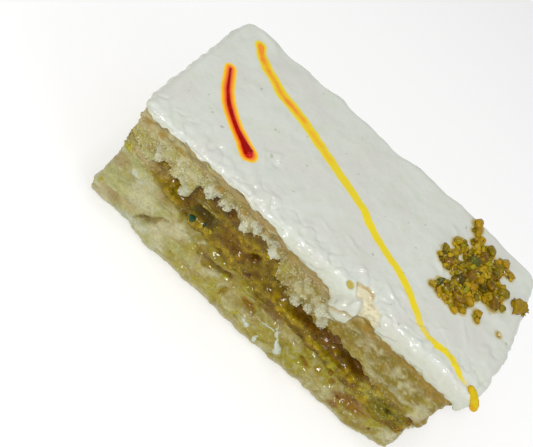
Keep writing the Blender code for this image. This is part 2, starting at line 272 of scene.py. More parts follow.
ICING_EDGE_RADIUS = 1.5
ICING_LEFT, ICING_RIGHT = 0.5, 1.7
ICING_FRONT, ICING_BACK = 0.4, 1.2
BACK_EDGE = (
    (-40, -0.6), (-34, 0.2), (-28.5, -0.9), (-23, 0.0), (-20, -0.3), (-15, 0.7), (-12, 0.1),
    (-8, 0.4), (-3, -0.1), (1, -0.9), (7, 0.5), (11, 0.5), (16, -0.2), (20, 0.9), (27, 0.7),
    (31, -0.4), (36, -0.7), (40, -0.9),
)
RIGHT_EDGE = ((-19, -0.6), (-15.5, -1.1), (-12, -0.5), (-6, 0.4), (2, 0.4), (8, 0.0), (12, -0.5), (19, -0.3))
LEFT_EDGE = ((-18, 0.1), (8, 0.0), (14, -0.3), (19, -0.9))
EDGE_ZONE, EDGE_LEAST = 2.4, -1.1
FRONT_FOOT = ((-40, 1.0), (-33, 0.7), (-25, 2.1), (0, 2.7), (30, 2.6), (36, 1.0), (40, 0.4))
BACK_FOOT = 1.3
LEFT_FOOT, RIGHT_WAIST = 1.4, 1.3
FOOT_TUCK = 0.7
FURROW_HEIGHT, FURROW_DEPTH = 8.3, 0.7
print("bar:", RIGHT - LEFT, "by", BACK - FRONT, "mm")

# %% [markdown]
# A cake's unevenness is smooth noise, not jitter. The helpers below work on whole arrays of
# places at once, and give the same surface as the solids, at any fineness.

# %% Helpers for form


def along(points, x):
    """Values on a smooth line through (x, value) points, for an array of x."""
    xs, values = np.array(points, float).T
    step = np.clip(np.searchsorted(xs, x), 1, len(xs) - 1)
    share = np.clip((x - xs[step - 1]) / (xs[step] - xs[step - 1]), 0, 1)
    return values[step - 1] + (1 - np.cos(np.pi * share)) / 2 * (values[step] - values[step - 1])


def ramp(value, start, end):
    share = np.clip((value - start) / (end - start), 0, 1)
    return share * share * (3 - 2 * share)


def bell(value, centre, half_width):
    return np.exp(-(((value - centre) / half_width) ** 2))


def wave(x, y, z, size):
    """Smooth unevenness from -1 to 1 with bumps about size mm across."""
    x, y, z = np.broadcast_arrays(x, y, z)
    places = np.stack([x, y, z], axis=-1).reshape(-1, 3) / size
    return np.array([noise.noise(place) for place in places.tolist()]).reshape(x.shape)


def waves(x, y, z, *rows):
    """A sum of smooth unevenness, each row a height in mm, an offset and a size."""
    return sum(height * wave(x, y, z + offset, size) for height, offset, size in rows)


def cells(x, y, z, size):
    """Rounded grains about size mm across: 1 at the middle of a grain, 0 between grains."""
    places = np.stack([x, y, z], axis=-1) / size
    nearest = np.array([noise.voronoi(place)[0][0] for place in places.tolist()])
    return 1 - np.clip(nearest, 0, 1)


def from_side(x, y):
    return np.minimum.reduce([x - LEFT, RIGHT - x, y - FRONT, BACK - y])


def near_front(y):
    return ramp(y, FRONT + SIDE_ZONE[2], FRONT + SIDE_ZONE[0])


def held_in(x, y):
    """Places moved in from the sides, so that heights read there don't change near a side."""
    margin = SIDE_ZONE[0]
    return np.clip(x, LEFT + margin, RIGHT - margin), np.clip(y, FRONT + margin, BACK - margin)


def boundary(x, y, height, front_points, seed):
    """A face between two layers: flat inside, uneven where it meets a side."""
    x, y = held_in(x, y)
    inner = height - LAYER_SLOPE * x
    front = (along(front_points, x) - inner) * near_front(y)
    near_side = ramp(from_side(x, y), SIDE_ZONE[2], SIDE_ZONE[0])
    return inner + front + SWELL * wave(x, y, seed, SWELL_SIZE) * near_side * (1 - near_front(y))


def filling_base(x, y):
    return boundary(x, y, FILLING_BASE, FRONT_FILLING_BASE, 11)


def filling_top(x, y):
    return boundary(x, y, FILLING_TOP, FRONT_FILLING_TOP, 47)


def cake_top(x):
    return CAKE_TOP - CAKE_TOP_SLOPE * x


def lip(x, y):
    """The height of the cream's lower edge at a place on its rim."""
    other = (LIP_LOW + LIP_HIGH) / 2 + LIP_SWING * wave(*held_in(x, y), 5, SWELL_SIZE)
    return other + (along(FRONT_LIP, x) - other) * near_front(y)


def round_corner(x, y, low, high):
    """Moves points of a rectangular plan onto one whose corners are rounded."""
    radius = np.where((x > 0) & (y > 0), FAR_CORNER_RADIUS, CORNER_RADIUS)
    inner_x = np.clip(x, low[0] + radius, high[0] - radius)
    inner_y = np.clip(y, low[1] + radius, high[1] - radius)
    out_x, out_y = x - inner_x, y - inner_y
    length = np.hypot(out_x, out_y)
    share = np.maximum(abs(out_x), abs(out_y)) / np.where(length < 1e-9, 1, length)
    return inner_x + out_x * share, inner_y + out_y * share


def side_bulge(x, y, z):
    """How far the cake's side stands out, as (along x, along y)."""
    foot = ramp(z, FILLING_BASE, 2.0)
    tuck = FOOT_TUCK * ramp(z, 0.9, 0.0)
    furrow = FURROW_DEPTH * bell(z, FURROW_HEIGHT + wave(x, y, 3, 18.0), 0.8)
    rough = waves(x, y, z, (0.45, 0, 2.6), (0.35, 0, 6.5))
    front = along(FRONT_FOOT, x) * foot - furrow * ramp(x, -22, -14) * ramp(x, 12, 4)
    back = BACK_FOOT * foot - 0.5 * furrow
    waist = bell(z, 19.5, 5.0) + 0.6 * bell(z, 7.0, 2.6)
    across = np.where(x > 0, -RIGHT_WAIST * waist, LEFT_FOOT * foot) + rough - tuck
    return across, np.where(y < 0, front, back) + rough - tuck


def moved_out(x, y, z, across, over):
    """Puts grid points on the rounded plan, and moves those near a side out from it."""
    reach = SIDE_ZONE[0]
    at_end = np.clip(1 - np.minimum(x - LEFT, RIGHT - x) / reach, 0, 1)
    at_side = np.clip(1 - np.minimum(y - FRONT, BACK - y) / reach, 0, 1)
    plan_x, plan_y = round_corner(x, y, (LEFT, FRONT), (RIGHT, BACK))
    return np.stack([
        plan_x + across * at_end * np.sign(x),
        plan_y + over * at_side * np.sign(y),
        z,
    ], axis=-1)


print("lower edge of the cream at the middle of the front:", round(float(lip(0.0, FRONT)), 1), "mm up")

# %% [markdown]
# ## Slabs
# Each layer starts as a flat rectangle. Its outline is subdivided until the edges are about
# a quarter of a millimetre long at the front, where the camera looks, and coarser behind.
# The outline is extruded into a wall and the wall is subdivided into rings. Each open end is
# then extruded and scaled inwards a few times and filled, so that only the rims of the
# hidden faces are fine. A grid over the whole slab would waste faces where nobody looks.

# %% Helpers for meshes
UNIT = 10 * MM  # the height of a slab before it is shaped
SIDE_CUTS = ((1, FRONT, (100, 2)), (1, BACK, (100, 1)), (0, LEFT, (54, 1)), (0, RIGHT, (54, 1)))
CAP_STEPS = (0.35, 0.35, 0.4, 0.5, 0.8, 0.8, 0.8, 0.8, 0.8)


def alone():
    """Deselects all, so that the next primitive is selected alone."""
    bpy.ops.object.select_all(action="DESELECT")


def edit_all():
    """Goes into edit mode with everything selected."""
    bpy.ops.object.mode_set(mode="EDIT")
    bpy.ops.mesh.select_all(action="SELECT")


def edit_done():
    bpy.ops.object.mode_set(mode="OBJECT")


def apply_place():
    bpy.ops.object.transform_apply(location=True, rotation=True, scale=True)


def apply_modifier(made, kind, **settings):
    added = made.modifiers.new(kind.title(), kind)
    for name, value in settings.items():
        setattr(added, name, value)
    bpy.ops.object.modifier_apply(modifier=added.name)


def face_out():
    """In edit mode, turns the selected faces outwards."""
    bpy.ops.mesh.normals_make_consistent(inside=False)


def pick_edges(made, wanted):
    """In edit mode, selects only the edges that pass a test."""
    cage = bmesh.from_edit_mesh(made.data)
    for face in cage.faces:
        face.select_set(False)
    for edge in cage.edges:
        edge.select_set(False)
    for edge in cage.edges:
        if wanted(edge):
            edge.select_set(True)
    bmesh.update_edit_mesh(made.data)


def on_line(axis, place):
    return lambda edge: all(abs(vert.co[axis] / MM - place) < NEAR for vert in edge.verts)


def open_at(height):
    return lambda edge: edge.is_boundary and all(abs(v.co.z - height) < NEAR * MM for v in edge.verts)


def flat_rectangle(name, low, high, adder, **steps):
    """A flat primitive between two corners, with its edges to be picked in edit mode."""
    alone()
    middle = [(a + b) / 2 * MM for a, b in zip(low, high)]
    adder(size=1, location=(*middle, 0), **steps)
    made = bpy.context.object
    made.name = name
    made.scale = ((high[0] - low[0]) * MM, (high[1] - low[1]) * MM, 1)
    apply_place()
    bpy.ops.object.mode_set(mode="EDIT")
    bpy.ops.mesh.select_mode(type="EDGE")
    return made


def slab(name, rings):
    """A closed block over the bar's plan whose height runs from 0 to UNIT."""
    made = flat_rectangle(name, (LEFT, FRONT), (RIGHT, BACK), bpy.ops.mesh.primitive_plane_add)
    bpy.ops.mesh.select_all(action="SELECT")
    bpy.ops.mesh.delete(type="ONLY_FACE")
    for axis, side, cuts in SIDE_CUTS:
        pick_edges(made, on_line(axis, side))
        for count in cuts:
            bpy.ops.mesh.subdivide(number_cuts=count)
    bpy.ops.mesh.select_all(action="SELECT")
    bpy.ops.mesh.extrude_edges_move(TRANSFORM_OT_translate={"value": (0, 0, UNIT)})
    pick_edges(made, lambda edge: abs(edge.verts[0].co.z - edge.verts[1].co.z) > UNIT / 2)
    bpy.ops.mesh.subdivide(number_cuts=rings - 1)
    middle_x, middle_y = (LEFT + RIGHT) / 2 * MM, (FRONT + BACK) / 2 * MM
    for height in (0, UNIT):
        pick_edges(made, open_at(height))
        half_x, half_y = (RIGHT - LEFT) / 2, (BACK - FRONT) / 2
        for step in CAP_STEPS:
            bpy.ops.mesh.extrude_edges_move(TRANSFORM_OT_translate={"value": (0, 0, 0)})
            bpy.ops.transform.resize(
                value=((half_x - step) / half_x, (half_y - step) / half_y, 1),
                center_override=(middle_x, middle_y, height),
            )
            half_x, half_y = half_x - step, half_y - step
        bpy.ops.mesh.edge_face_add()
    bpy.ops.mesh.select_all(action="SELECT")
    face_out()
    edit_done()
    return made


print("edges along the front:", math.prod(count + 1 for count in SIDE_CUTS[0][2]))

# %% [markdown]
# A piece is shaped by reading its points as one array, moving them and writing them back. A
# modifier could roughen it, but couldn't keep to the form of the solids. Arrays also carry
# colours and distances, which are stored on the points, where the finish finds them.

# %% Helpers for points


def read_places(made):
    flat = np.empty(len(made.data.vertices) * 3)
    made.data.vertices.foreach_get("co", flat)
    return flat.reshape(-1, 3) / MM


def write_places(made, places):
    made.data.vertices.foreach_set("co", (places * MM).ravel())
    made.data.update()


def read_normals(made):
    flat = np.empty(len(made.data.vertices) * 3)
    made.data.vertices.foreach_get("normal", flat)
    return flat.reshape(-1, 3)


def push_out(made, heights):
    """Moves each point along its normal by a height in mm."""
    write_places(made, read_places(made) + read_normals(made) * heights[:, None])


def paint(made, name, colours):
    """Stores one linear colour for each point."""
    layer = made.data.attributes.new(name, "FLOAT_COLOR", "POINT")
    full = np.concatenate([colours, np.ones((len(colours), 1))], axis=1)
    layer.data.foreach_set("color", full.astype(np.float32).ravel())


def mark(made, name, values):
    """Stores one number for each point."""
    layer = made.data.attributes.new(name, "FLOAT", "POINT")
    layer.data.foreach_set("value", np.asarray(values, np.float32))


def wash(colours, colour, amount):
    """Paints a colour over an array of colours, by an amount from 0 to 1 at each."""
    return colours + (np.array(colour) - colours) * np.clip(amount, 0, 1)[:, None]


def shade_round(made):
    made.data.shade_smooth()


print("points are moved in mm, stored in m: factor", MM)

# %% [markdown]
# Folds, stains and crumbs of the front are placed where they show, on an upright plane at the
# bar's foot, seen from the camera. An oval with a soft ragged edge serves for most of them:
# it pushes the surface in or out, or paints it. Colours that change along the bar and clouds
# of noise make up the ground below the stains.

# %% Helpers for marks
MARK_PLANE = -19.6  # where the upright plane stands, in mm
SOFT_EDGE = 0.35


def seen_on_front(places):
    """Where points show on the upright plane at the bar's foot, seen from the camera."""
    eye = np.array(camera.location) / MM
    reach = (MARK_PLANE - eye[1]) / (places[:, 1] - eye[1])
    return eye[0] + reach * (places[:, 0] - eye[0]), eye[2] + reach * (places[:, 2] - eye[2])


def veins(x, y, z, size, width=0.16):
    """0 along thin winding lines about size mm apart, 1 elsewhere."""
    return ramp(abs(wave(x, y, z, size)), 0.0, width)


def oval(x, z, centre_x, centre_z, half_x, half_z, turn):
    """Places measured from an oval's middle in its own half sizes, turned in degrees."""
    cos, sin = math.cos(math.radians(turn)), math.sin(math.radians(turn))
    u = ((x - centre_x) * cos + (z - centre_z) * sin) / half_x
    v = ((z - centre_z) * cos - (x - centre_x) * sin) / half_z
    return u, v


def patch(x, z, spot, soft=SOFT_EDGE, ragged=0.0):
    """The amount of an oval at each place: 1 inside, 0 outside, with a soft edge."""
    return ramp(np.hypot(*oval(x, z, *spot)) + ragged, 1 + soft, 1 - soft)


def line_distance(x, z, points):
    """The distance in mm to a line of (x, z) points, and how far along it the foot lies."""
    best = np.full(x.shape, 1e9)
    where = np.zeros(x.shape)
    total = 0.0
    for (x0, z0), (x1, z1) in zip(points, points[1:]):
        length = math.hypot(x1 - x0, z1 - z0)
        share = np.clip(((x - x0) * (x1 - x0) + (z - z0) * (z1 - z0)) / length**2, 0, 1)
        distance = np.hypot(x - x0 - share * (x1 - x0), z - z0 - share * (z1 - z0))
        where = np.where(distance < best, total + share * length, where)
        best = np.minimum(best, distance)
        total += length
    return best, where


def inside(x, z, outline):
    """The distance in mm to a closed outline: positive inside it, negative outside."""
    distance = line_distance(x, z, (*outline, outline[0]))[0]
    within = np.zeros(x.shape, bool)
    for (x0, z0), (x1, z1) in zip(outline, (*outline[1:], outline[0])):
        if z0 != z1:
            crossing = x0 + (z - z0) / (z1 - z0) * (x1 - x0)
            within ^= ((z0 > z) != (z1 > z)) & (x < crossing)
    return np.where(within, distance, -distance)


def relief(x, z, marks):
    """The sum of soft ovals, each (x, z, half x, half z, turn, height)."""
    heights = np.zeros(x.shape)
    for *spot, height in marks:
        u, v = oval(x, z, *spot)
        heights += height * np.exp(-1.4 * (u * u + v * v))
    return heights


def blotches(colours, x, z, marks, ragged):
    """Paints ovals, each (x, z, half x, half z, turn, colour, strength)."""
    x = x + 0.8 * wave(x, z, 4, 2.4) + 0.45 * wave(x, z, 9, 1.0)
    z = z + 0.5 * wave(x, z, 14, 2.0) + 0.3 * wave(x, z, 19, 0.8)
    for *spot, colour, strength in marks:
        colours = wash(colours, colour, patch(x, z, spot, SOFT_EDGE, ragged) * strength)
    return colours


def clouds(colours, colour, x, y, z, size, start, end, amount):
    """Paints clouds about size mm across, from where the noise passes start."""
    return wash(colours, colour, ramp(wave(x, y, z, size), start, end) * amount)


def graded(x, left, middle, right, left_ramp, right_ramp):
    """Colours along the bar: one in the middle that changes to others at the ends."""
    colours = wash(np.tile(middle, (len(x), 1)), left, ramp(x, *left_ramp))
    return wash(colours, right, ramp(x, *right_ramp))


left_foot = seen_on_front(np.array([[LEFT, FRONT, 0.0]]))
print("left foot of the front, as marked:", [round(float(part[0]), 1) for part in left_foot], "mm")

# %% [markdown]
# ## The lower slab
# The lower slab is soaked in milk. It sags at its foot, folds where the knife dragged it,
# and has tan patches where the crust of the cake shows. The sag and the long furrow come
# from the solid. The folds are soft ovals pushed in and out, the way a thumb would do it.

# %% Colours of the cake
CREAM_LEFT = (0.42, 0.41, 0.155)
CREAM_MIDDLE = (0.37, 0.32, 0.045)
CREAM_RIGHT = (0.32, 0.27, 0.015)
CREAM_PALE = (0.56, 0.53, 0.31)
CREAM_WHITE = (0.568, 0.593, 0.464)
CRUST_TAN = (0.336, 0.237, 0.062)
PINK_TAN = (0.43, 0.33, 0.16)
CRUST_ORANGE = (0.25, 0.12, 0.002)
# brown of the crust, also painted as shade in the folds
CRUST_BROWN_AND_SHADE = (0.17, 0.085, 0.006)
CRUST_DARK = (0.11, 0.04, 0.002)
MUSTARD = (0.255, 0.172, 0.0)
FOOT_PALE = (0.60, 0.58, 0.42)
PASTE_STAIN = (0.26, 0.20, 0.002)
YELLOW_SPOT = (0.36, 0.32, 0.004)
print("cream at the left and at the right:", CREAM_LEFT, CREAM_RIGHT)

# %% [markdown]
# A fold is an oval with the height that it stands out, or lies in where that is negative. A
# stain is an oval with a colour and a strength, and the later ones lie over the earlier.

# %% Folds and stains of the lower slab
STAIN_DEPTH = (
    (-40, 0.3), (-33, 0.8), (-29, 2.0), (-23, 4.6), (-16, 4.6),
    (-8, 2.6), (6, 2.2), (18, 2.6), (26, 1.4), (40, 0.5),
)
BOTTOM_RELIEF = (
    (-28.0, 5.6, 0.8, 3.4, -42, -1.1), (-25.0, 8.8, 0.7, 2.8, -44, -0.7),
    (-31.5, 9.5, 3.2, 3.0, 20, 0.6), (-23.4, 7.6, 0.9, 4.0, -48, 0.8),
    (-36.0, 5.2, 3.0, 0.8, -10, -0.5), (-33.8, 14.6, 1.6, 0.9, 25, 0.6),
    (-20.0, 12.6, 4.4, 1.2, 34, 0.5), (-37.0, 14.4, 1.6, 1.8, 0, -0.3),
    (-10.6, 10.2, 4.0, 0.55, 4, -1.1), (-11.5, 11.4, 4.5, 0.7, 3, 0.6), (-14.8, 10.6, 0.8, 1.8, -20, -0.4),
    (-11.0, 8.0, 2.5, 1.0, 20, 0.5), (2.0, 10.4, 4.0, 0.7, -6, -0.7), (2.0, 12.0, 4.0, 0.6, -5, 0.4),
    (-1.5, 7.4, 2.0, 1.3, 10, -0.7), (-1.0, 5.4, 2.6, 0.6, 0, 0.5), (4.4, 5.4, 2.4, 1.6, 10, -0.6),
    (2.6, 6.8, 3.6, 0.5, 8, 0.5), (8.0, 4.4, 0.6, 2.4, 35, 0.5),
    (27.4, 5.4, 3.8, 2.4, 12, -0.9), (23.0, 8.0, 0.7, 1.8, 40, 0.6), (24.4, 1.4, 1.4, 1.2, 0, -0.5),
    (14.2, 5.6, 1.5, 0.7, -25, -0.7), (17.6, 7.0, 1.0, 1.0, 0, -0.4), (20.8, 6.9, 0.9, 0.9, 0, -0.5),
    (19.0, 4.0, 3.0, 1.4, 10, 0.4), (36.0, 6.6, 1.2, 3.0, 10, 0.6), (32.4, 3.6, 0.8, 2.0, -30, 0.4),
    (-6.6, 5.0, 0.6, 1.8, -25, -0.6), (-17.0, 3.0, 6.0, 0.5, -3, -0.3), (10.8, 2.0, 4.0, 0.6, -12, -0.3),
)
# The brown stains in the pushed-in folds, most of all the long groove near the middle, are painted shade
# over the crust's colour.
BOTTOM_BLOTCHES = (
    (-38.0, 15.0, 1.8, 2.2, 0, CRUST_TAN, 0.75), (-34.4, 14.8, 0.9, 0.6, 10, CREAM_WHITE, 0.9),
    (-33.0, 14.2, 1.1, 0.4, -25, CREAM_WHITE, 0.7),
    (-30.4, 9.8, 3.0, 3.4, 20, CREAM_PALE, 0.7), (-26.6, 14.0, 3.4, 1.4, -14, CRUST_TAN, 0.35),
    (-20.0, 13.2, 4.2, 1.6, 36, CREAM_PALE, 0.8), (-22.6, 8.4, 1.6, 4.4, -48, CREAM_PALE, 0.7),
    (-18.4, 11.4, 1.2, 2.8, -60, CREAM_PALE, 0.6), (-28.6, 5.4, 0.9, 2.0, -40, CRUST_BROWN_AND_SHADE, 0.75),
    (-26.2, 7.6, 0.7, 2.2, -44, CRUST_TAN, 0.8), (-36.2, 4.9, 3.2, 0.9, -10, CRUST_TAN, 0.5),
    (-35.4, 3.2, 0.9, 0.9, 0, CRUST_TAN, 0.5), (-31.0, 2.6, 2.6, 1.0, 10, CREAM_WHITE, 0.6),
    (-27.6, 2.8, 1.6, 1.4, 0, CREAM_WHITE, 0.5), (-16.0, 16.0, 3.0, 0.9, -8, MUSTARD, 0.6),
    (-25.4, 15.6, 5.0, 0.8, -10, MUSTARD, 0.75), (-19.0, 5.4, 4.6, 1.6, -8, CREAM_LEFT, 0.5),
    (-15.0, 11.0, 1.3, 2.2, -22, CRUST_ORANGE, 0.5), (-10.6, 10.3, 4.0, 0.62, 5, CRUST_BROWN_AND_SHADE, 0.95),
    (-9.0, 11.4, 4.4, 0.5, 3, CRUST_TAN, 0.6), (-13.0, 8.2, 1.7, 1.3, 25, MUSTARD, 0.95),
    (-8.4, 9.0, 1.0, 0.6, 0, YELLOW_SPOT, 0.8), (-10.6, 7.4, 1.8, 0.8, 15, CREAM_PALE, 0.6),
    (-7.0, 5.1, 0.8, 1.9, -25, MUSTARD, 0.9), (-1.8, 7.5, 2.0, 1.5, 8, CRUST_ORANGE, 0.85),
    (-4.6, 4.6, 1.8, 0.8, 10, MUSTARD, 0.4), (1.6, 10.5, 4.3, 1.2, -4, CRUST_BROWN_AND_SHADE, 0.85),
    (2.4, 10.7, 3.0, 0.7, -4, CRUST_ORANGE, 0.7), (-13.4, 5.8, 1.0, 1.4, 0, YELLOW_SPOT, 0.45),
    (-13.0, 2.3, 0.9, 0.7, 0, YELLOW_SPOT, 0.9), (-2.2, 2.5, 1.0, 0.5, 20, YELLOW_SPOT, 0.9),
    (-8.0, 1.6, 6.0, 1.0, -4, YELLOW_SPOT, 0.3), (5.0, 4.6, 2.4, 2.0, 0, YELLOW_SPOT, 0.22),
    (9.4, 8.2, 3.4, 1.2, -5, CREAM_PALE, 0.35), (14.3, 5.7, 1.5, 0.7, -25, CRUST_ORANGE, 0.8),
    (17.5, 6.9, 0.9, 1.1, 0, MUSTARD, 0.9), (20.8, 6.8, 1.0, 0.9, 10, CRUST_ORANGE, 0.8),
    (15.0, 2.8, 3.6, 1.6, 0, YELLOW_SPOT, 0.2), (24.6, 1.2, 1.3, 1.2, -20, CRUST_ORANGE, 0.9),
    (27.4, 5.5, 4.2, 2.4, 12, CRUST_ORANGE, 0.95), (29.0, 6.6, 2.6, 1.2, 10, CRUST_TAN, 0.35),
    (26.2, 6.6, 1.8, 0.9, 0, CRUST_BROWN_AND_SHADE, 0.7), (24.4, 4.1, 0.35, 0.3, 0, CRUST_DARK, 1.0),
    (32.2, 8.0, 2.6, 1.6, -6, MUSTARD, 0.85), (32.8, 4.8, 0.9, 2.0, -14, YELLOW_SPOT, 0.7),
    (36.4, 6.4, 1.6, 3.6, 8, CREAM_PALE, 0.75), (31.0, 1.6, 3.0, 1.4, 20, CRUST_TAN, 0.35),
    (-39.5, 6.2, 0.7, 0.7, 0, YELLOW_SPOT, 0.95),
)
print("folds and stains of the lower slab:", len(BOTTOM_RELIEF), len(BOTTOM_BLOTCHES))

# %% [markdown]
# A slab is first put between its two faces and out to its bulging sides. Folds, creases and
# lumps then move its points along their normals, less and less towards the table, on which
# the slab lies flat. Creases are thin winding lines, pressed in where noise passes zero.

# %% Shape of the lower slab


def slab_places(made, low_face, high_face, depth=None):
    """The grid of a slab and where its points go, between two faces."""
    grid = read_places(made)
    x, y, share = grid[:, 0], grid[:, 1], grid[:, 2] * MM / UNIT
    low, high = low_face(x, y), high_face(x, y)
    z = low + share * (high - low)
    across, over = side_bulge(x, y, z)
    if depth is not None:
        back = depth(x, share)
        over = np.where(y < 0, over * (1 - 0.35 * np.minimum(back, 2.0)) - back, over)
    return grid, moved_out(x, y, z, across, over)


def outer_wall(grid):
    """1 on a slab's walls, fading to 0 over its caps' rims."""
    on_wall = (grid[:, 2] > NEAR) & (grid[:, 2] < UNIT / MM - NEAR)
    return np.where(on_wall, 1.0, np.clip(1 - from_side(grid[:, 0], grid[:, 1]) / 2.4, 0, 1))


cake_bottom = slab("cake_bottom", 54)
grid, places = slab_places(
    cake_bottom,
    lambda x, y: np.zeros(x.shape),
    lambda x, y: filling_base(x, y) - 0.05,
)
write_places(cake_bottom, places)
x, y, z = places.T
u, v = seen_on_front(places)
wall = outer_wall(grid)
front = wall * ramp(y, -12, -16)
above_table = ramp(z, 0.1, 1.2)
folds = relief(u + 0.5 * wave(u, v, 2, 2.2), v + 0.5 * wave(u, v, 7, 2.2), BOTTOM_RELIEF) * front
worn = ramp(z, filling_base(x, y) - 2.2, filling_base(x, y)) * along(FRONT_FILLING_RECESS, x) * 0.4
creases = veins(0.5 * x, y, z, 2.6, 0.12) * 0.5 + veins(x, y, 0.7 * z + 40, 1.7, 0.12) * 0.3
creases = creases + veins(0.4 * x, y, z + 60, 1.0) * 0.2
lumps = waves(x, y, z, (0.32, 0, 2.4), (0.24, 30, 1.1), (0.12, 35, 0.6)) + 0.42 * (creases - 0.8)
push_out(cake_bottom, (folds - worn * front + lumps * wall) * above_table)
shade_round(cake_bottom)
print("lower slab:", len(cake_bottom.data.polygons), "faces")

# %% [markdown]
# Wet cake is cream-coloured, paler to the left, with broad soft patches of white, mustard and
# pink. The stains of the front lie over that. Syrup from the paste has soaked in from above,
# to a depth that varies along the bar, and milk has gathered white at the foot.

# %% Paint of the lower slab


def cream_base(x, y, z):
    shade = graded(x, CREAM_LEFT, CREAM_MIDDLE, CREAM_RIGHT, (-16, -28), (-8, 8))
    shade = clouds(shade, CREAM_PALE, x, y, z + 60, 4.4, 0.05, 0.5, along(((-30, 0.8), (10, 0.45)), x))
    shade = clouds(shade, MUSTARD, x, y, z + 90, 3.0, 0.1, 0.5, along(((-26, 0.15), (0, 0.55)), x))
    pinkness = along(((-26, 0.6), (6, 0.3)), x)
    shade = clouds(shade, PINK_TAN, 0.6 * x, y, z + 150, 3.4, 0.05, 0.45, pinkness)
    return clouds(shade, CRUST_TAN, x, y, z + 120, 2.6, 0.15, 0.55, 0.35)


colours = cream_base(x, y, z)
ragged = waves(x, y, z, (0.35, 0, 1.4), (0.15, 0, 0.6))
# painted shade: the pressed-in creases are washed darker mustard
colours = wash(colours, MUSTARD, (1 - creases) * along(((-26, 0.2), (0, 0.5)), x))
colours = clouds(colours, CREAM_WHITE, x, y, z + 30, 1.1, 0.15, 0.5, 0.25)
colours = np.where(front[:, None] > 0.5, blotches(colours, u, v, BOTTOM_BLOTCHES, ragged), colours)
soaked_to = filling_base(x, y) - along(STAIN_DEPTH, x) * (0.8 + 0.9 * wave(x, y, 80, 2.4))
stain = ramp(z + 0.8 * wave(x, y, z + 85, 1.0), soaked_to, soaked_to + 1.4)
colours = wash(colours, PASTE_STAIN, stain * (0.75 + 0.5 * wave(x, y, z + 95, 1.4)))
colours = wash(colours, FOOT_PALE, ramp(z + 0.6 * wave(x, y, 6, 1.6), 2.4, 0.4) * 0.6)
paint(cake_bottom, "paint", colours)
print("mean colour of the lower slab:", np.round(colours.mean(axis=0), 2))
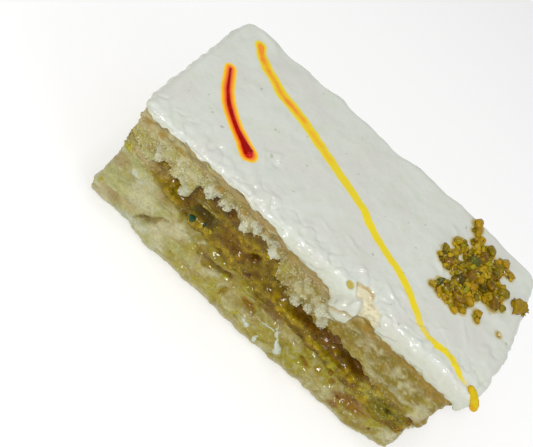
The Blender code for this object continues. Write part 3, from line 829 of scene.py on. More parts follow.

# %% [markdown]
# ## The paste
# The paste is ground nuts and saffron in syrup: grainy, sticky and deep yellow, with brown
# hollows where it was pressed thin. The dark brown and olive of the hollows is partly the
# syrup's colour and partly painted shade. It lies back behind the front of the cake, so the
# grains are real relief, because the low light in the hollow would show up a bump map.

# %% Colours and marks of the paste
PASTE_YELLOW = (0.36, 0.25, 0.0)
PASTE_GOLD = (0.295, 0.192, 0.0)
PASTE_AMBER = (0.185, 0.088, 0.0)
PASTE_BROWN_AND_SHADE = (0.145, 0.065, 0.001)
PASTE_RED = (0.13, 0.05, 0.001)
PASTE_OLIVE_AND_SHADE = (0.09, 0.065, 0.003)
PASTE_PALE = (0.44, 0.38, 0.14)
LEAF_OLIVE = (0.20, 0.17, 0.003)
# The dark brown and olive stains lie in the pushed-in hollows of the relief below: the syrup's colour with
# painted shade.
FILLING_BLOTCHES = (
    (-37.0, 18.4, 4.8, 3.2, 0, CREAM_LEFT, 0.95), (-38.5, 19.2, 1.4, 1.3, 10, YELLOW_SPOT, 0.95),
    (-38.6, 24.2, 1.6, 2.0, 0, YELLOW_SPOT, 0.5), (-34.0, 19.6, 3.6, 1.4, 0, PINK_TAN, 0.7),
    (-30.7, 20.2, 2.4, 1.7, 8, CRUST_TAN, 0.9), (-33.6, 17.0, 3.6, 1.3, 0, CREAM_LEFT, 0.8),
    (-28.0, 17.6, 5.0, 1.6, -8, MUSTARD, 0.6), (-30.0, 15.9, 3.0, 0.7, 0, PASTE_YELLOW, 0.5),
    (-25.6, 16.2, 2.0, 1.0, -20, PASTE_YELLOW, 0.7), (-21.8, 14.2, 3.6, 1.0, -12, PASTE_YELLOW, 0.7),
    (-22.4, 22.8, 1.8, 1.5, 20, PASTE_AMBER, 0.7), (-17.0, 25.0, 4.2, 1.2, 4, PASTE_BROWN_AND_SHADE, 0.9),
    (-14.6, 23.6, 3.0, 1.0, 0, PASTE_BROWN_AND_SHADE, 0.7), (-19.0, 18.9, 3.6, 1.7, 4, PASTE_OLIVE_AND_SHADE, 0.95),
    (-20.0, 21.2, 2.4, 0.4, 4, PASTE_PALE, 0.55), (-22.8, 19.0, 1.0, 1.8, 0, PASTE_BROWN_AND_SHADE, 0.6),
    (-17.4, 17.4, 1.6, 0.7, 0, PASTE_OLIVE_AND_SHADE, 0.9), (-12.4, 19.0, 2.6, 2.6, 0, PASTE_AMBER, 0.8),
    (-9.4, 21.6, 3.2, 1.6, -10, PASTE_GOLD, 0.7), (-6.8, 19.4, 0.8, 1.8, -38, PASTE_BROWN_AND_SHADE, 0.95),
    (-9.2, 20.6, 0.9, 0.7, 0, PASTE_AMBER, 0.8), (-5.4, 14.2, 0.7, 0.6, 0, PASTE_RED, 1.0),
    (-6.0, 14.6, 1.6, 0.9, 20, PASTE_OLIVE_AND_SHADE, 0.5), (-3.0, 21.0, 3.0, 1.4, -10, PASTE_YELLOW, 0.7),
    (-2.4, 18.4, 3.0, 1.6, -15, PASTE_GOLD, 0.6), (-14.0, 15.0, 4.4, 1.4, -6, PASTE_YELLOW, 0.6),
    (1.4, 15.4, 2.2, 1.8, 0, PASTE_GOLD, 0.8), (9.6, 16.2, 6.4, 1.9, -4, PASTE_BROWN_AND_SHADE, 0.95),
    (8.0, 16.9, 3.4, 0.9, 0, PASTE_AMBER, 0.4), (14.6, 16.8, 2.2, 1.8, -10, PASTE_RED, 0.75),
    (13.6, 14.2, 3.4, 0.9, -10, PASTE_AMBER, 0.7), (21.0, 15.2, 4.0, 1.6, -14, PASTE_BROWN_AND_SHADE, 1.0),
    (20.2, 16.0, 2.6, 0.8, -14, PASTE_RED, 0.6), (16.6, 13.6, 3.0, 0.8, -20, PASTE_RED, 0.45),
    (7.0, 13.0, 6.0, 1.0, -8, PASTE_YELLOW, 0.8), (18.4, 10.8, 2.6, 1.2, -6, YELLOW_SPOT, 0.95),
    (20.0, 12.2, 1.0, 1.4, 0, PASTE_AMBER, 0.7), (22.6, 11.4, 2.2, 1.3, -10, PASTE_YELLOW, 0.7),
    (24.6, 10.8, 0.9, 0.9, 0, PASTE_AMBER, 0.8), (27.4, 12.0, 2.2, 1.8, -10, CREAM_MIDDLE, 0.85),
    (31.6, 10.2, 3.4, 2.2, -16, LEAF_OLIVE, 0.95), (33.8, 12.4, 3.0, 1.4, -6, LEAF_OLIVE, 0.95),
    (32.4, 11.5, 0.8, 0.5, 0, PASTE_OLIVE_AND_SHADE, 0.9), (30.4, 13.4, 1.6, 0.7, 20, PASTE_OLIVE_AND_SHADE, 0.5),
    (38.4, 12.0, 1.2, 2.6, 0, CREAM_PALE, 0.9), (12.0, 11.8, 5.0, 0.7, -8, PASTE_YELLOW, 0.8),
)
FILLING_RELIEF = (
    (-19.5, 19.0, 3.6, 1.7, 0, -1.2), (-17.0, 25.0, 4.0, 1.1, 0, -0.8), (-20.0, 21.3, 2.6, 0.5, 4, 0.7),
    (-6.9, 19.3, 0.8, 1.7, -38, -0.8), (9.0, 16.4, 6.0, 1.5, -5, -1.3), (14.8, 16.8, 1.6, 1.4, -10, 0.5),
    (20.8, 15.4, 3.8, 1.2, -14, -1.6), (17.2, 14.6, 0.8, 1.6, -30, 0.8),
    (-12.0, 17.0, 6.0, 2.0, -10, 0.5), (-27.0, 17.2, 4.0, 1.4, -6, 0.6), (-9.0, 22.0, 3.0, 1.6, -10, 0.6),
    (17.0, 11.6, 7.0, 1.2, -8, 0.9), (2.0, 14.2, 6.0, 1.0, -6, 0.6), (1.0, 17.4, 2.0, 1.0, 0, -0.8),
    (-2.6, 18.8, 3.0, 1.8, -20, 0.8), (27.4, 12.2, 1.8, 1.2, -6, 0.7),
    (34.6, 12.8, 3.0, 1.0, -8, 0.6), (32.4, 11.4, 1.6, 0.5, -30, -0.8), (31.4, 9.8, 2.4, 1.0, -16, 0.5),
)
print("hollows and stains of the paste:", len(FILLING_RELIEF), len(FILLING_BLOTCHES))

# %% [markdown]
# Two sizes of rounded cells make the grains. They are flattened near both ends, where the
# slabs pressed on the paste. The gaps between the grains are painted brown, as painted shade,
# and their tops are painted lighter, as a painted highlight.

# %% Paste
paste = slab("saffron_paste", 44)
grid, places = slab_places(
    paste,
    lambda x, y: filling_base(x, y) - 0.25,
    lambda x, y: filling_top(x, y) - 0.1,
    lambda x, share: along(FRONT_FILLING_RECESS, x) * ramp(share, 0.0, 0.6),
)
write_places(paste, places)
x, y, z = places.T
u, v = seen_on_front(places)
wall = outer_wall(grid)
front = wall * ramp(y, -11, -14)
granules = cells(x + 0.4 * wave(x, y, z, 1.2), y, z, 1.7)
small = cells(x + 9, y, z, 0.85)
grains = 0.42 * granules + 0.20 * small - 0.35 + 0.35 * wave(x, y, z, 2.6)
pressed = along(((-33, 0.35), (-27, 1.0), (23, 1.0), (27, 0.6)), x)
push_out(paste, relief(u, v, FILLING_RELIEF) * front + grains * wall * pressed)
colours = np.tile(MUSTARD, (len(x), 1))
colours = clouds(colours, PASTE_YELLOW, x, y, z + 20, 2.2, 0.05, 0.45, 0.8)
colours = clouds(colours, PASTE_AMBER, x, y, z + 40, 2.8, 0.0, 0.4, 0.7)
ragged = 0.4 * wave(x, y, z, 1.1) + 0.2 * wave(x, y, z + 70, 0.5)
colours = np.where(front[:, None] > 0.3, blotches(colours, u, v, FILLING_BLOTCHES, ragged), colours)
# painted shade: the gaps between the grains are washed brown
colours = wash(colours, PASTE_BROWN_AND_SHADE, ramp(granules, 0.5, 0.2) * 0.45 * pressed)
# painted highlight on the grain tops, and painted shade on the rest
grain_top_highlight = ramp(granules + 0.4 * small, 0.5, 1.2)
colours = colours * (1 + pressed * (0.55 * grain_top_highlight - 0.3))[:, None]
paint(paste, "paint", colours)
shade_round(paste)
print("paste:", len(paste.data.polygons), "faces")

# %% [markdown]
# ## The upper slab
# The upper slab is drier. Under the cream it has a tan skin, below that a pale open crumb,
# and its lower edge has torn into lobes that hang over the paste. The outline of the tear
# is a list of points read along the bar, roughened with finer noise.

# %% Colours and marks of the upper slab
CRUMB_LEFT = (0.42, 0.385, 0.13)
CRUMB_MIDDLE = (0.31, 0.25, 0.05)
CRUMB_RIGHT = (0.235, 0.18, 0.02)
CRUMB_WHITE = (0.59, 0.59, 0.44)
TOAST = (0.38, 0.24, 0.035)
SKIN_LEFT = (0.38, 0.30, 0.12)
SKIN_MIDDLE = (0.36, 0.26, 0.095)
SKIN_RIGHT = (0.31, 0.20, 0.03)
LOBE_THICKNESS = 1.3
TORN_DROP = 1.5  # the torn edge hangs behind the mark plane, and so shows this much higher
TORN_EDGE = (
    (-40, 21.6), (-37, 21.8), (-35.5, 20.6), (-33.9, 19.4), (-33.1, 21.4), (-32.4, 22.2), (-31.2, 23.4),
    (-30.0, 22.8), (-28.8, 20.8), (-27.4, 21.1), (-26.3, 20.6), (-25.3, 18.8), (-24.0, 19.8), (-23.9, 22.3),
    (-23.3, 24.0), (-22.0, 23.9), (-20.8, 23.1), (-20.2, 24.9), (-19.2, 26.2), (-18.5, 24.0), (-17.6, 25.0),
    (-16.7, 24.3), (-15.8, 26.3), (-14.2, 24.6), (-13.1, 24.4), (-12.7, 23.2), (-11.7, 22.8), (-10.9, 23.8),
    (-9.7, 24.8), (-7.8, 25.0), (-6.4, 24.4), (-5.8, 23.2), (-4.2, 22.9), (-3.6, 24.0), (-2.8, 22.6),
    (-1.9, 20.6), (-1.0, 19.4), (0.2, 18.0), (1.2, 18.6), (2.0, 17.2), (3.0, 17.6), (4.0, 16.5), (5.2, 18.6),
    (6.6, 17.8), (7.4, 17.0), (8.4, 17.8), (9.4, 17.6), (10.7, 16.3), (12.0, 18.2), (13.6, 18.6),
    (15.6, 18.3), (16.4, 16.8), (17.4, 16.2), (19.0, 16.9), (21.4, 16.8), (23.0, 15.8), (24.6, 14.8),
    (25.6, 14.3), (28.0, 14.6), (31.0, 14.4), (34.0, 14.5), (36.0, 14.2), (38.0, 13.4), (40, 13.0),
)
UPPER_BLOTCHES = (
    (-38.4, 27.2, 2.2, 1.8, 0, PINK_TAN, 0.7), (-38.0, 24.4, 1.8, 2.0, 0, YELLOW_SPOT, 0.35),
    (-36.0, 25.6, 1.4, 1.2, 0, MUSTARD, 0.3), (-32.6, 23.4, 0.9, 1.7, 12, CRUMB_WHITE, 0.8),
    (-33.9, 20.4, 1.4, 1.4, 0, CREAM_LEFT, 0.7), (-30.2, 23.6, 1.6, 0.7, 20, CRUST_ORANGE, 0.5),
    (-28.4, 25.4, 1.0, 0.5, -20, CRUMB_WHITE, 0.6), (-27.0, 22.6, 2.0, 1.6, -10, CREAM_PALE, 0.7),
    (-25.0, 20.4, 1.0, 1.8, 0, CRUMB_WHITE, 0.85), (-24.4, 22.6, 1.0, 0.7, 0, YELLOW_SPOT, 0.35),
    (-25.4, 25.0, 1.4, 0.9, 0, CREAM_PALE, 0.6), (-21.2, 25.2, 1.0, 1.8, 10, CRUMB_WHITE, 0.95),
    (-20.0, 26.8, 1.2, 0.8, 20, CRUMB_WHITE, 0.6), (-18.0, 25.4, 0.7, 1.1, 0, CRUMB_WHITE, 0.85),
    (-16.8, 25.2, 0.5, 0.9, 0, CRUMB_WHITE, 0.8), (-15.2, 26.8, 1.8, 0.5, 0, CRUMB_WHITE, 0.5),
    (-12.2, 24.5, 1.2, 1.5, 0, CRUMB_WHITE, 0.98), (-10.4, 26.2, 0.8, 1.7, 14, CRUMB_WHITE, 0.95),
    (-13.6, 25.6, 1.0, 0.6, 0, CREAM_PALE, 0.7), (-7.8, 26.2, 1.6, 0.7, -6, CRUMB_WHITE, 0.6),
    (-4.8, 24.2, 1.1, 1.3, 0, CRUMB_WHITE, 0.98), (-5.8, 26.4, 0.8, 0.9, 0, CRUMB_WHITE, 0.6),
    (-2.6, 25.6, 1.8, 1.2, -20, CRUST_TAN, 0.6), (-1.8, 23.0, 1.6, 1.4, 0, CREAM_MIDDLE, 0.6),
    (-2.4, 28.0, 2.2, 1.0, -12, CRUST_TAN, 0.6), (3.4, 25.2, 0.5, 0.5, 0, CRUST_BROWN_AND_SHADE, 0.8),
    (0.8, 21.6, 1.0, 1.6, 0, MUSTARD, 0.6), (3.4, 21.6, 2.4, 2.0, 10, CREAM_PALE, 0.65),
    (7.6, 22.4, 1.4, 1.8, 0, CREAM_PALE, 0.6), (4.0, 18.0, 1.0, 1.4, 0, CRUMB_WHITE, 0.7),
    (6.6, 19.0, 1.0, 0.9, 0, CRUMB_WHITE, 0.6), (10.4, 18.2, 1.1, 1.2, 0, CRUMB_WHITE, 0.65),
    (8.8, 20.6, 1.6, 1.6, 20, CRUMB_WHITE, 0.9), (10.6, 21.8, 2.0, 0.9, 34, CRUMB_WHITE, 0.8),
    (13.8, 20.4, 2.0, 1.0, 10, MUSTARD, 0.5), (17.6, 19.6, 2.6, 1.0, 0, MUSTARD, 0.5),
    (19.6, 18.0, 2.6, 0.8, 0, CREAM_RIGHT, 0.5), (24.4, 17.0, 2.6, 0.8, -10, CREAM_PALE, 0.4),
    (30.0, 17.4, 3.6, 0.8, -4, CREAM_PALE, 0.45), (35.6, 17.6, 1.6, 3.4, 4, CREAM_PALE, 0.55),
    (30.0, 20.4, 1.4, 1.8, 0, CREAM_PALE, 0.5), (27.0, 21.6, 1.2, 1.2, 0, CREAM_PALE, 0.4),
    (34.4, 21.2, 1.2, 0.8, 0, YELLOW_SPOT, 0.7), (33.8, 16.2, 1.4, 1.2, 0, YELLOW_SPOT, 0.35),
    (28.0, 15.4, 1.8, 0.6, 10, MUSTARD, 0.5), (34.6, 24.6, 3.4, 1.4, 6, SKIN_RIGHT, 0.9),
    (26.0, 25.0, 6.0, 0.8, 2, SKIN_RIGHT, 0.7), (16.6, 25.0, 3.6, 0.7, -4, SKIN_RIGHT, 0.75),
    (4.0, 26.0, 4.4, 0.5, -8, SKIN_MIDDLE, 0.8), (30.6, 26.6, 1.6, 0.5, 0, CREAM_PALE, 0.5),
    (-37.4, 27.8, 1.0, 0.6, -10, TOAST, 0.8), (-34.0, 27.6, 0.9, 0.6, 20, TOAST, 0.9),
    (-29.6, 27.6, 1.7, 0.5, -4, TOAST, 0.8), (-24.6, 27.4, 1.0, 0.4, 0, TOAST, 0.6),
    (-19.6, 27.5, 1.3, 0.4, 0, TOAST, 0.9), (-14.2, 27.2, 1.2, 0.4, 0, TOAST, 0.8),
    (-9.0, 27.4, 1.6, 0.4, -4, TOAST, 0.7),
)
print("points of the torn edge:", len(TORN_EDGE), "and stains:", len(UPPER_BLOTCHES))


# %% [markdown]
# Only the outermost 1.3 mm hangs down in lobes, so that it stands before the paste as a thin
# torn curtain. Under the cream the side steps in, and the cream closes over it. The crumb is
# two sizes of rounded cells, and stands out most on the white lobes.

# %% Shape of the upper slab
STEP_IN = 0.7  # how far the side steps in under the cream
END_ZONE = 36  # how far from the middle the ends begin


def torn_edge(x):
    fine = 0.40 * wave(x, 0, 8, 0.9) + 0.30 * wave(x, 0, 15, 0.45)
    return along(TORN_EDGE, x) - TORN_DROP + fine * ramp(x, 34, 24)


def crumb_bottom(x, y):
    low = filling_top(x, y) - 0.2
    hang = np.clip((LOBE_THICKNESS + 0.3 - (y - FRONT)) / 0.3, 0, 1)
    return low + (torn_edge(x) - low) * hang


def ragged_lip(x, y):
    """The cream's lower edge with its drips, higher where it was poured thin."""
    raised = 0.7 * ramp(x, 0, -10) * near_front(y)
    drips = 0.5 * ramp(wave(x, y, 90, 1.9), 0.15, 0.5) + 0.22 * wave(x, y, 80, 0.8)
    return lip(x, y) + raised - drips + 0.3 * wave(x, y, 70, 3.2)


upper = slab("cake_upper", 54)
grid, places = slab_places(upper, crumb_bottom, lambda x, y: cake_top(x) - 0.1)
x, y, z = places.T
wall = outer_wall(grid)
under_lip = ramp(z, lip(grid[:, 0], grid[:, 1]) - 0.1, lip(grid[:, 0], grid[:, 1]) + 0.9)
places[:, 1] += np.where(y < 0, STEP_IN, -STEP_IN) * under_lip * wall * (from_side(grid[:, 0], 0 * x) > NEAR)
places[:, 0] += np.where(x < 0, STEP_IN, -STEP_IN) * under_lip * wall * (abs(x) > END_ZONE)
write_places(upper, places)
x, y, z = places.T
u, v = seen_on_front(places)
front = wall * ramp(y, -14, -16)
below = lip(grid[:, 0], grid[:, 1]) - z
skin_end, skin_start = along(((0, 3.2), (24, 2.2)), x), along(((0, 1.4), (24, 1.0)), x)
band = ramp(below + 0.6 * wave(x, y, z, 2.2), skin_end, skin_start)
granules = cells(x, y + 0.3 * wave(x, y, z, 1.0), z, 1.5)
small = cells(x, y + 7, z, 0.75)
creases = veins(0.35 * x, y, z, 1.6)
white_spots = [row[:5] for row in UPPER_BLOTCHES if row[5] == CRUMB_WHITE]
edge_noise = 0.4 * wave(x, y, z, 1.0)
white = np.maximum.reduce([patch(u, v, spot, SOFT_EDGE, edge_noise) for spot in white_spots]) * front
crumbs = 0.36 * granules + 0.20 * small - 0.34 + 0.35 * wave(x, y, z, 2.6) + 0.2 * wave(x, y, z + 15, 1.2)
crumbs = crumbs * (1 - 0.55 * band) + 0.25 * (creases - 1) * band + (0.4 + 0.5 * small) * white
push_out(upper, crumbs * wall * (1 - under_lip))
shade_round(upper)
print("upper slab:", len(upper.data.polygons), "faces")

# %% [markdown]
# The crumb is painted like the lower slab, from broad to fine. The skin is a band below the
# edge of the cream, broken by noise, and painted darker along its creases as painted shade.
# Pores between the crumbs are painted darker mustard, as painted shade, and pale threads
# run through the right half, where the crumb has been drawn out.

# %% Paint of the upper slab
colours = graded(x, CRUMB_LEFT, CRUMB_MIDDLE, CRUMB_RIGHT, (-12, -26), (0, 14))
colours = clouds(colours, CREAM_PALE, x, y, z + 70, 2.2, 0.0, 0.4, along(((-20, 0.7), (20, 0.35)), x))
colours = clouds(colours, PINK_TAN, x, y, z + 170, 3.0, 0.05, 0.45, 0.5)
colours = clouds(colours, MUSTARD, x, y, z + 50, 2.6, 0.05, 0.45, along(((-26, 0.3), (6, 0.6)), x))
colours = wash(colours, MUSTARD, ramp(z, torn_edge(x) + 2.2, torn_edge(x)) * ramp(x, -6, 6) * 0.6)
threads = (1 - veins(0.3 * x, y, z + 44, 1.2, 0.12)) * ramp(x, 12, 20)
colours = wash(colours, CREAM_PALE, threads * 0.6)
skin = graded(x, SKIN_LEFT, SKIN_MIDDLE, SKIN_RIGHT, (-12, -26), (4, 18))
skin = clouds(skin, CREAM_PALE, 0.5 * x, y, z + 33, 1.3, 0.1, 0.5, 0.5)
# painted shade: the skin is darker along its pressed-in creases
skin = skin * (0.7 + 0.3 * creases)[:, None]
blend = (band * ramp(wave(x, y, z + 10, 2.4), -0.8, -0.2) * 0.95)[:, None]
colours = colours * (1 - blend) + skin * blend
ragged = waves(x, y, z, (0.4, 0, 1.2), (0.2, 0, 0.5))
colours = np.where(front[:, None] > 0.3, blotches(colours, u, v, UPPER_BLOTCHES, ragged), colours)
# painted shade: pores between the crumbs are washed darker mustard
pore_shade = ramp(granules + 0.5 * small, 0.75, 0.35) * (1 - white) * (1 - 0.6 * band)
colours = wash(colours, MUSTARD, pore_shade * along(((-30, 0.35), (10, 0.6)), x))
colours = wash(colours, CRUMB_WHITE, ramp(small, 0.65, 0.9) * 0.3 * (1 - band))
paint(upper, "paint", colours)
print("mean colour of the upper slab:", np.round(colours.mean(axis=0), 2))

# %% [markdown]
# ## Malai
# The malai is thick cream that was poured over the slab before it was cut, so it is level on
# top and hangs over the edges in a soft rim. First come the lines and outlines of its marks:
# a torn spot with a flap beside it, a drop, the streak, the strand and the dents of the top.

# %% Marks on the malai
TEAR = (
    (9.7, 2.5), (10.9, 2.8), (12.0, 3.2), (12.9, 3.2), (13.7, 2.5), (14.4, 1.4), (15.4, 1.0), (16.5, 0.4),
    (17.1, -0.8), (17.7, -2.1), (17.9, -3.6), (18.0, -6.0), (13.6, -6.0), (13.4, -1.7), (12.2, 0.0),
    (11.0, -0.8), (10.2, 1.0),
)
FLAP = (
    (11.4, -0.6), (12.4, -0.6), (13.3, -2.0), (13.7, -3.6), (13.6, -5.0), (13.4, -7.0), (12.6, -9.0),
    (10.6, -9.2), (8.0, -9.6), (8.4, -8.0), (8.0, -6.6), (8.2, -5.4), (9.4, -3.8), (10.7, -2.4),
)
DROP = (8.9, 0.8, 0.8, 1.1, 20)
FLAP_HEIGHT, FOLD_DEPTH, TEAR_DEPTH, DROP_DEPTH = 1.25, 1.0, 0.55, 0.4
FLAP_FOLD = ((8.2, -6.5), (9.6, -6.3), (10.8, -5.6), (11.8, -4.9), (13.2, -4.7))
STREAK = (
    (-34.2, 14.7), (-33.2, 13.4), (-32, 12.3), (-30, 10.9), (-27, 9.5), (-24.5, 8.2), (-22, 7.5),
    (-20, 7.2), (-17, 6.3), (-12, 4.5), (-8, 3), (-4, 1.5), (0, 0), (3, -1), (4.5, -2.4), (8, -4.3),
    (12, -6), (15, -7), (18, -8.8), (20, -10.5), (22, -12.1), (23.5, -13.6), (25, -14.4),
    (28, -14.8), (30, -14.3), (31.5, -14.7), (33.5, -15.7), (35, -16.6), (37.5, -17), (39.5, -18.6),
)
STREAK_START = (-34.2, 14.7, 1.35)
STREAK_WIDTH = (
    (0, 1.1), (6, 1.25), (14, 1.4), (24, 1.3), (34, 1.1), (41, 0.95), (54, 0.85), (62, 0.78), (67, 0.7),
    (74, 0.75), (80, 0.45), (84, 0.6),
)
STREAK_STRENGTH = ((0, 1.0), (62, 1.0), (66, 0.85), (70, 1.0), (77, 1.0), (79.5, 0.45), (82, 0.7), (90, 0.6))
STREAK_HEAT = ((0, 2.6), (3, 2.0), (6, 1.0), (12, 0.95), (15.5, 1.25), (18, 0.8), (26, 0.5), (32, 0.0))
STRAND = (
    (-34.8, 3.6, 0.14), (-33.7, 1.6, 0.19), (-32.1, -1.4, 0.26), (-30.4, -3.5, 0.32), (-28.15, -5.6, 0.34),
    (-25.65, -7.5, 0.32), (-23.0, -9.0, 0.46), (-21.7, -9.9, 0.70), (-20.7, -10.5, 0.85),
)
TOP_RELIEF = (
    (-15.5, -7.5, 0.8, 1.0, 0, -0.4), (-16.0, -5.8, 0.5, 1.6, 10, 0.25), (-17.2, -6.0, 2.0, 0.5, 40, 0.2),
    (-9.2, -9.5, 0.9, 2.2, -20, 0.28), (-18.3, -8.2, 0.4, 2.0, 34, 0.22), (-12.0, -14.8, 1.6, 1.0, 0, 0.3),
    (-5.0, -15.5, 1.2, 2.0, -40, 0.35), (9.5, -13.0, 1.8, 0.9, -10, 0.35), (16.5, -12.8, 2.6, 0.5, -24, 0.3),
    (17.8, -10.6, 0.5, 1.6, 60, 0.25), (22.0, -18.0, 1.2, 0.9, 0, 0.35), (25.4, -17.6, 1.6, 0.9, -20, 0.35),
    (19.8, 12.5, 0.8, 2.0, 50, 0.3), (21.2, 1.6, 2.2, 0.5, -50, 0.4), (20.6, 0.6, 1.6, 0.9, 0, -0.2),
    (31.5, -7.4, 0.5, 3.4, 34, 0.25), (36.0, 2.0, 1.4, 2.4, 20, 0.3), (37.4, -8.0, 1.4, 3.4, 0, 0.3),
    (17.5, 20.0, 3.0, 1.2, 0, 0.35), (-34.0, 18.0, 4.0, 1.2, -20, 0.25), (-38.0, 13.5, 1.0, 1.6, 0, -0.3),
    (4.4, -9.5, 0.5, 2.0, 70, 0.2), (-1.0, -11.0, 1.8, 0.5, -20, 0.2), (27.5, -11.0, 0.4, 1.6, -50, 0.2),
)
print("points of the streak:", len(STREAK), "and dents of the top:", len(TOP_RELIEF))

# %% [markdown]
# The malai starts as a grid, which suits it because the whole top shows. The grid's border is
# extruded down in rings for the rim, then in and up for its hidden inside, and closed
# underneath. Two slabs laid on each other would leave a seam at the brim.

# %% Grid of the malai
RIM_RINGS = 16
GRID_STEPS = (276, 120)


def icing_surface(x, y):
    torn = 0.9 * bell(x, 12.5, 3.0) * bell(y, FRONT, 2.6)
    return ICING_TOP + 0.28 * wave(x, y, 21, 9.0) + 0.12 * wave(x, y, 33, 4.0) - torn


icing_low = (LEFT - ICING_LEFT, FRONT - ICING_FRONT)
icing_high = (RIGHT + ICING_RIGHT, BACK + ICING_BACK)
malai = flat_rectangle(
    "malai_cream", icing_low, icing_high, bpy.ops.mesh.primitive_grid_add,
    x_subdivisions=GRID_STEPS[0], y_subdivisions=GRID_STEPS[1],
)
pick_edges(malai, lambda edge: edge.is_boundary)
for _ in range(RIM_RINGS + 2):
    bpy.ops.mesh.extrude_edges_move(TRANSFORM_OT_translate={"value": (0, 0, -MM)})
bpy.ops.mesh.edge_face_add()
bpy.ops.mesh.select_all(action="SELECT")
face_out()
edit_done()
print("malai:", len(malai.data.polygons), "faces")

# %% [markdown]
# Each ring is set between the level top and the hanging edge. The brim is rounded by moving a
# point of the square edge towards the edge's inner centre until it lies on the curve. The
# two inside rings stay square, behind the side of the cake.

# %% Brim of the malai
grid = read_places(malai)
x, y, ring = grid[:, 0], grid[:, 1], np.round(-grid[:, 2])
on_rim = np.minimum.reduce([x - icing_low[0], icing_high[0] - x, y - icing_low[1], icing_high[1] - y]) < NEAR
inner = ring > RIM_RINGS
x = np.where(inner, np.clip(x, LEFT + LIP_INSIDE, RIGHT - LIP_INSIDE), x)
y = np.where(inner, np.clip(y, FRONT + LIP_INSIDE, BACK - LIP_INSIDE), y)
hang = ragged_lip(x, y)
top = icing_surface(x, y)
share = np.clip(1 - ring / RIM_RINGS, 0, 1)
z = hang + share * (top - hang)
z = np.where(ring > RIM_RINGS + 1, cake_top(x) - 0.1, z)
inner_x = np.clip(x, icing_low[0] + ICING_EDGE_RADIUS, icing_high[0] - ICING_EDGE_RADIUS)
inner_y = np.clip(y, icing_low[1] + ICING_EDGE_RADIUS, icing_high[1] - ICING_EDGE_RADIUS)
inner_z = np.minimum(top - ICING_EDGE_RADIUS, z)
out = np.stack([x - inner_x, y - inner_y, z - inner_z], axis=-1)
length = np.linalg.norm(out, axis=1)
scale = abs(out).max(axis=1) / np.where(length < 1e-9, 1, length)
rounded = np.stack([inner_x, inner_y, inner_z], axis=-1) + out * scale[:, None]
keep = inner | (length < 1e-9)
places = np.where(keep[:, None], np.stack([x, y, z], axis=-1), rounded)
places[:, 0], places[:, 1] = np.where(
    inner, (places[:, 0], places[:, 1]), round_corner(places[:, 0], places[:, 1], icing_low, icing_high)
)
print("the cream hangs down to", round(float(hang.min()), 1), "mm above the table")

# %% [markdown]
# The rim swells between its two edges and bulges in lumps, as cream does where it runs down.
# The plan's own unevenness is added at the ends and at the back.

# %% Rim of the malai
x, y, z = places.T
ripple = 0.35 * wave(x, y, z, 4.5) + 0.3 * wave(x, y, 2, 9.0)
swell = 0.3 * np.sin(np.pi * np.clip(share, 0, 1)) * on_rim * (1 + 1.2 * wave(x, y, 12, 3.0))
lumps = waves(x, y, z, (0.34, 0, 2.1), (0.20, 9, 1.1))
at_end = np.clip(1 - np.minimum(x - icing_low[0], icing_high[0] - x) / EDGE_ZONE, 0, 1) * ~inner
at_side = np.clip(1 - np.minimum(y - icing_low[1], icing_high[1] - y) / EDGE_ZONE, 0, 1) * ~inner
end = np.where(x > 0, along(RIGHT_EDGE, y), along(LEFT_EDGE, y))
side = np.where(y > 0, along(BACK_EDGE, x), 0)
push = swell + lumps * ramp(share, 1.1, 0.8)
places[:, 0] += (push + np.maximum(EDGE_LEAST, ripple + end)) * at_end * np.sign(x)
places[:, 1] += (push + np.maximum(EDGE_LEAST, ripple + side)) * at_side * np.sign(y)
write_places(malai, places)
print("the rim stands out by up to", round(float(push.max()), 2), "mm")

# %% [markdown]
# Marks near the brim are placed by how far they lie beyond it: over_edge counts inwards along
# the top and downwards on the rim. The flap is pushed out and creased, the torn spot and the
# drop pushed in. Ripples grow towards the front, where the cream was drawn by the knife.

# %% Surface of the malai
x, y, z = places.T
flat = ~inner & (share >= 1)
over_edge = (y - icing_low[1]) + (z - ICING_TOP)
near_x = x + 0.35 * wave(x, y, z, 1.3)
near_t = over_edge + 0.35 * wave(x, y, z + 40, 1.3)
tear = ramp(inside(near_x, near_t, TEAR), -0.1, 0.2) * ~inner
drop = patch(near_x, near_t, DROP, 0.15) * ~inner
flap = ramp(inside(x, over_edge, FLAP), -0.15, 0.45) * ~inner
fold = bell(line_distance(x, over_edge, FLAP_FOLD)[0], 0, 0.5) * ~inner
# the rim of the torn spot gets a painted shadow, stored with the fold's
tear_rim_shade = bell(inside(near_x, near_t, TEAR), 0.15, 0.35) * ramp(near_t, 1.2, 2.6) * ~inner
skin = 0.09 * wave(x, y, 40, 2.6) + 0.04 * wave(x, y, 50, 1.1)
pits = -0.18 * ramp(cells(x, y, z, 1.1), 0.35, 0.7)
shore = ramp(y, -11.0, -17.0) * 0.85 + 0.15 + 0.5 * ramp(x, 33, 39) * ramp(y, 6, -2)
ripples = waves(x, y, z, (0.26, 60, 2.3), (0.16, 65, 1.2), (0.08, 68, 0.8))
skin = skin + shore * ripples
skin = skin - 0.22 * (1 - veins(x, y, 30, 3.2, 0.10)) * ramp(y, -10, -14) * flat
torn_in = -TEAR_DEPTH * tear - DROP_DEPTH * drop + pits * tear
dents = relief(x, y, TOP_RELIEF) * flat
folded = FLAP_HEIGHT * flap - FOLD_DEPTH * fold * flap
push_out(malai, np.where(
    inner, 0, skin + dents + torn_in + FLAP_HEIGHT * flap - FOLD_DEPTH * fold * flap,
))
shade_round(malai)
print("the flap stands out by up to", round(float(folded.max()), 2), "mm")

# %% [markdown]
# The stains have sharp edges, so they aren't painted on the points. Each point stores how far
# it lies from the line of the streak or the strand, and the finish cuts the edge there.

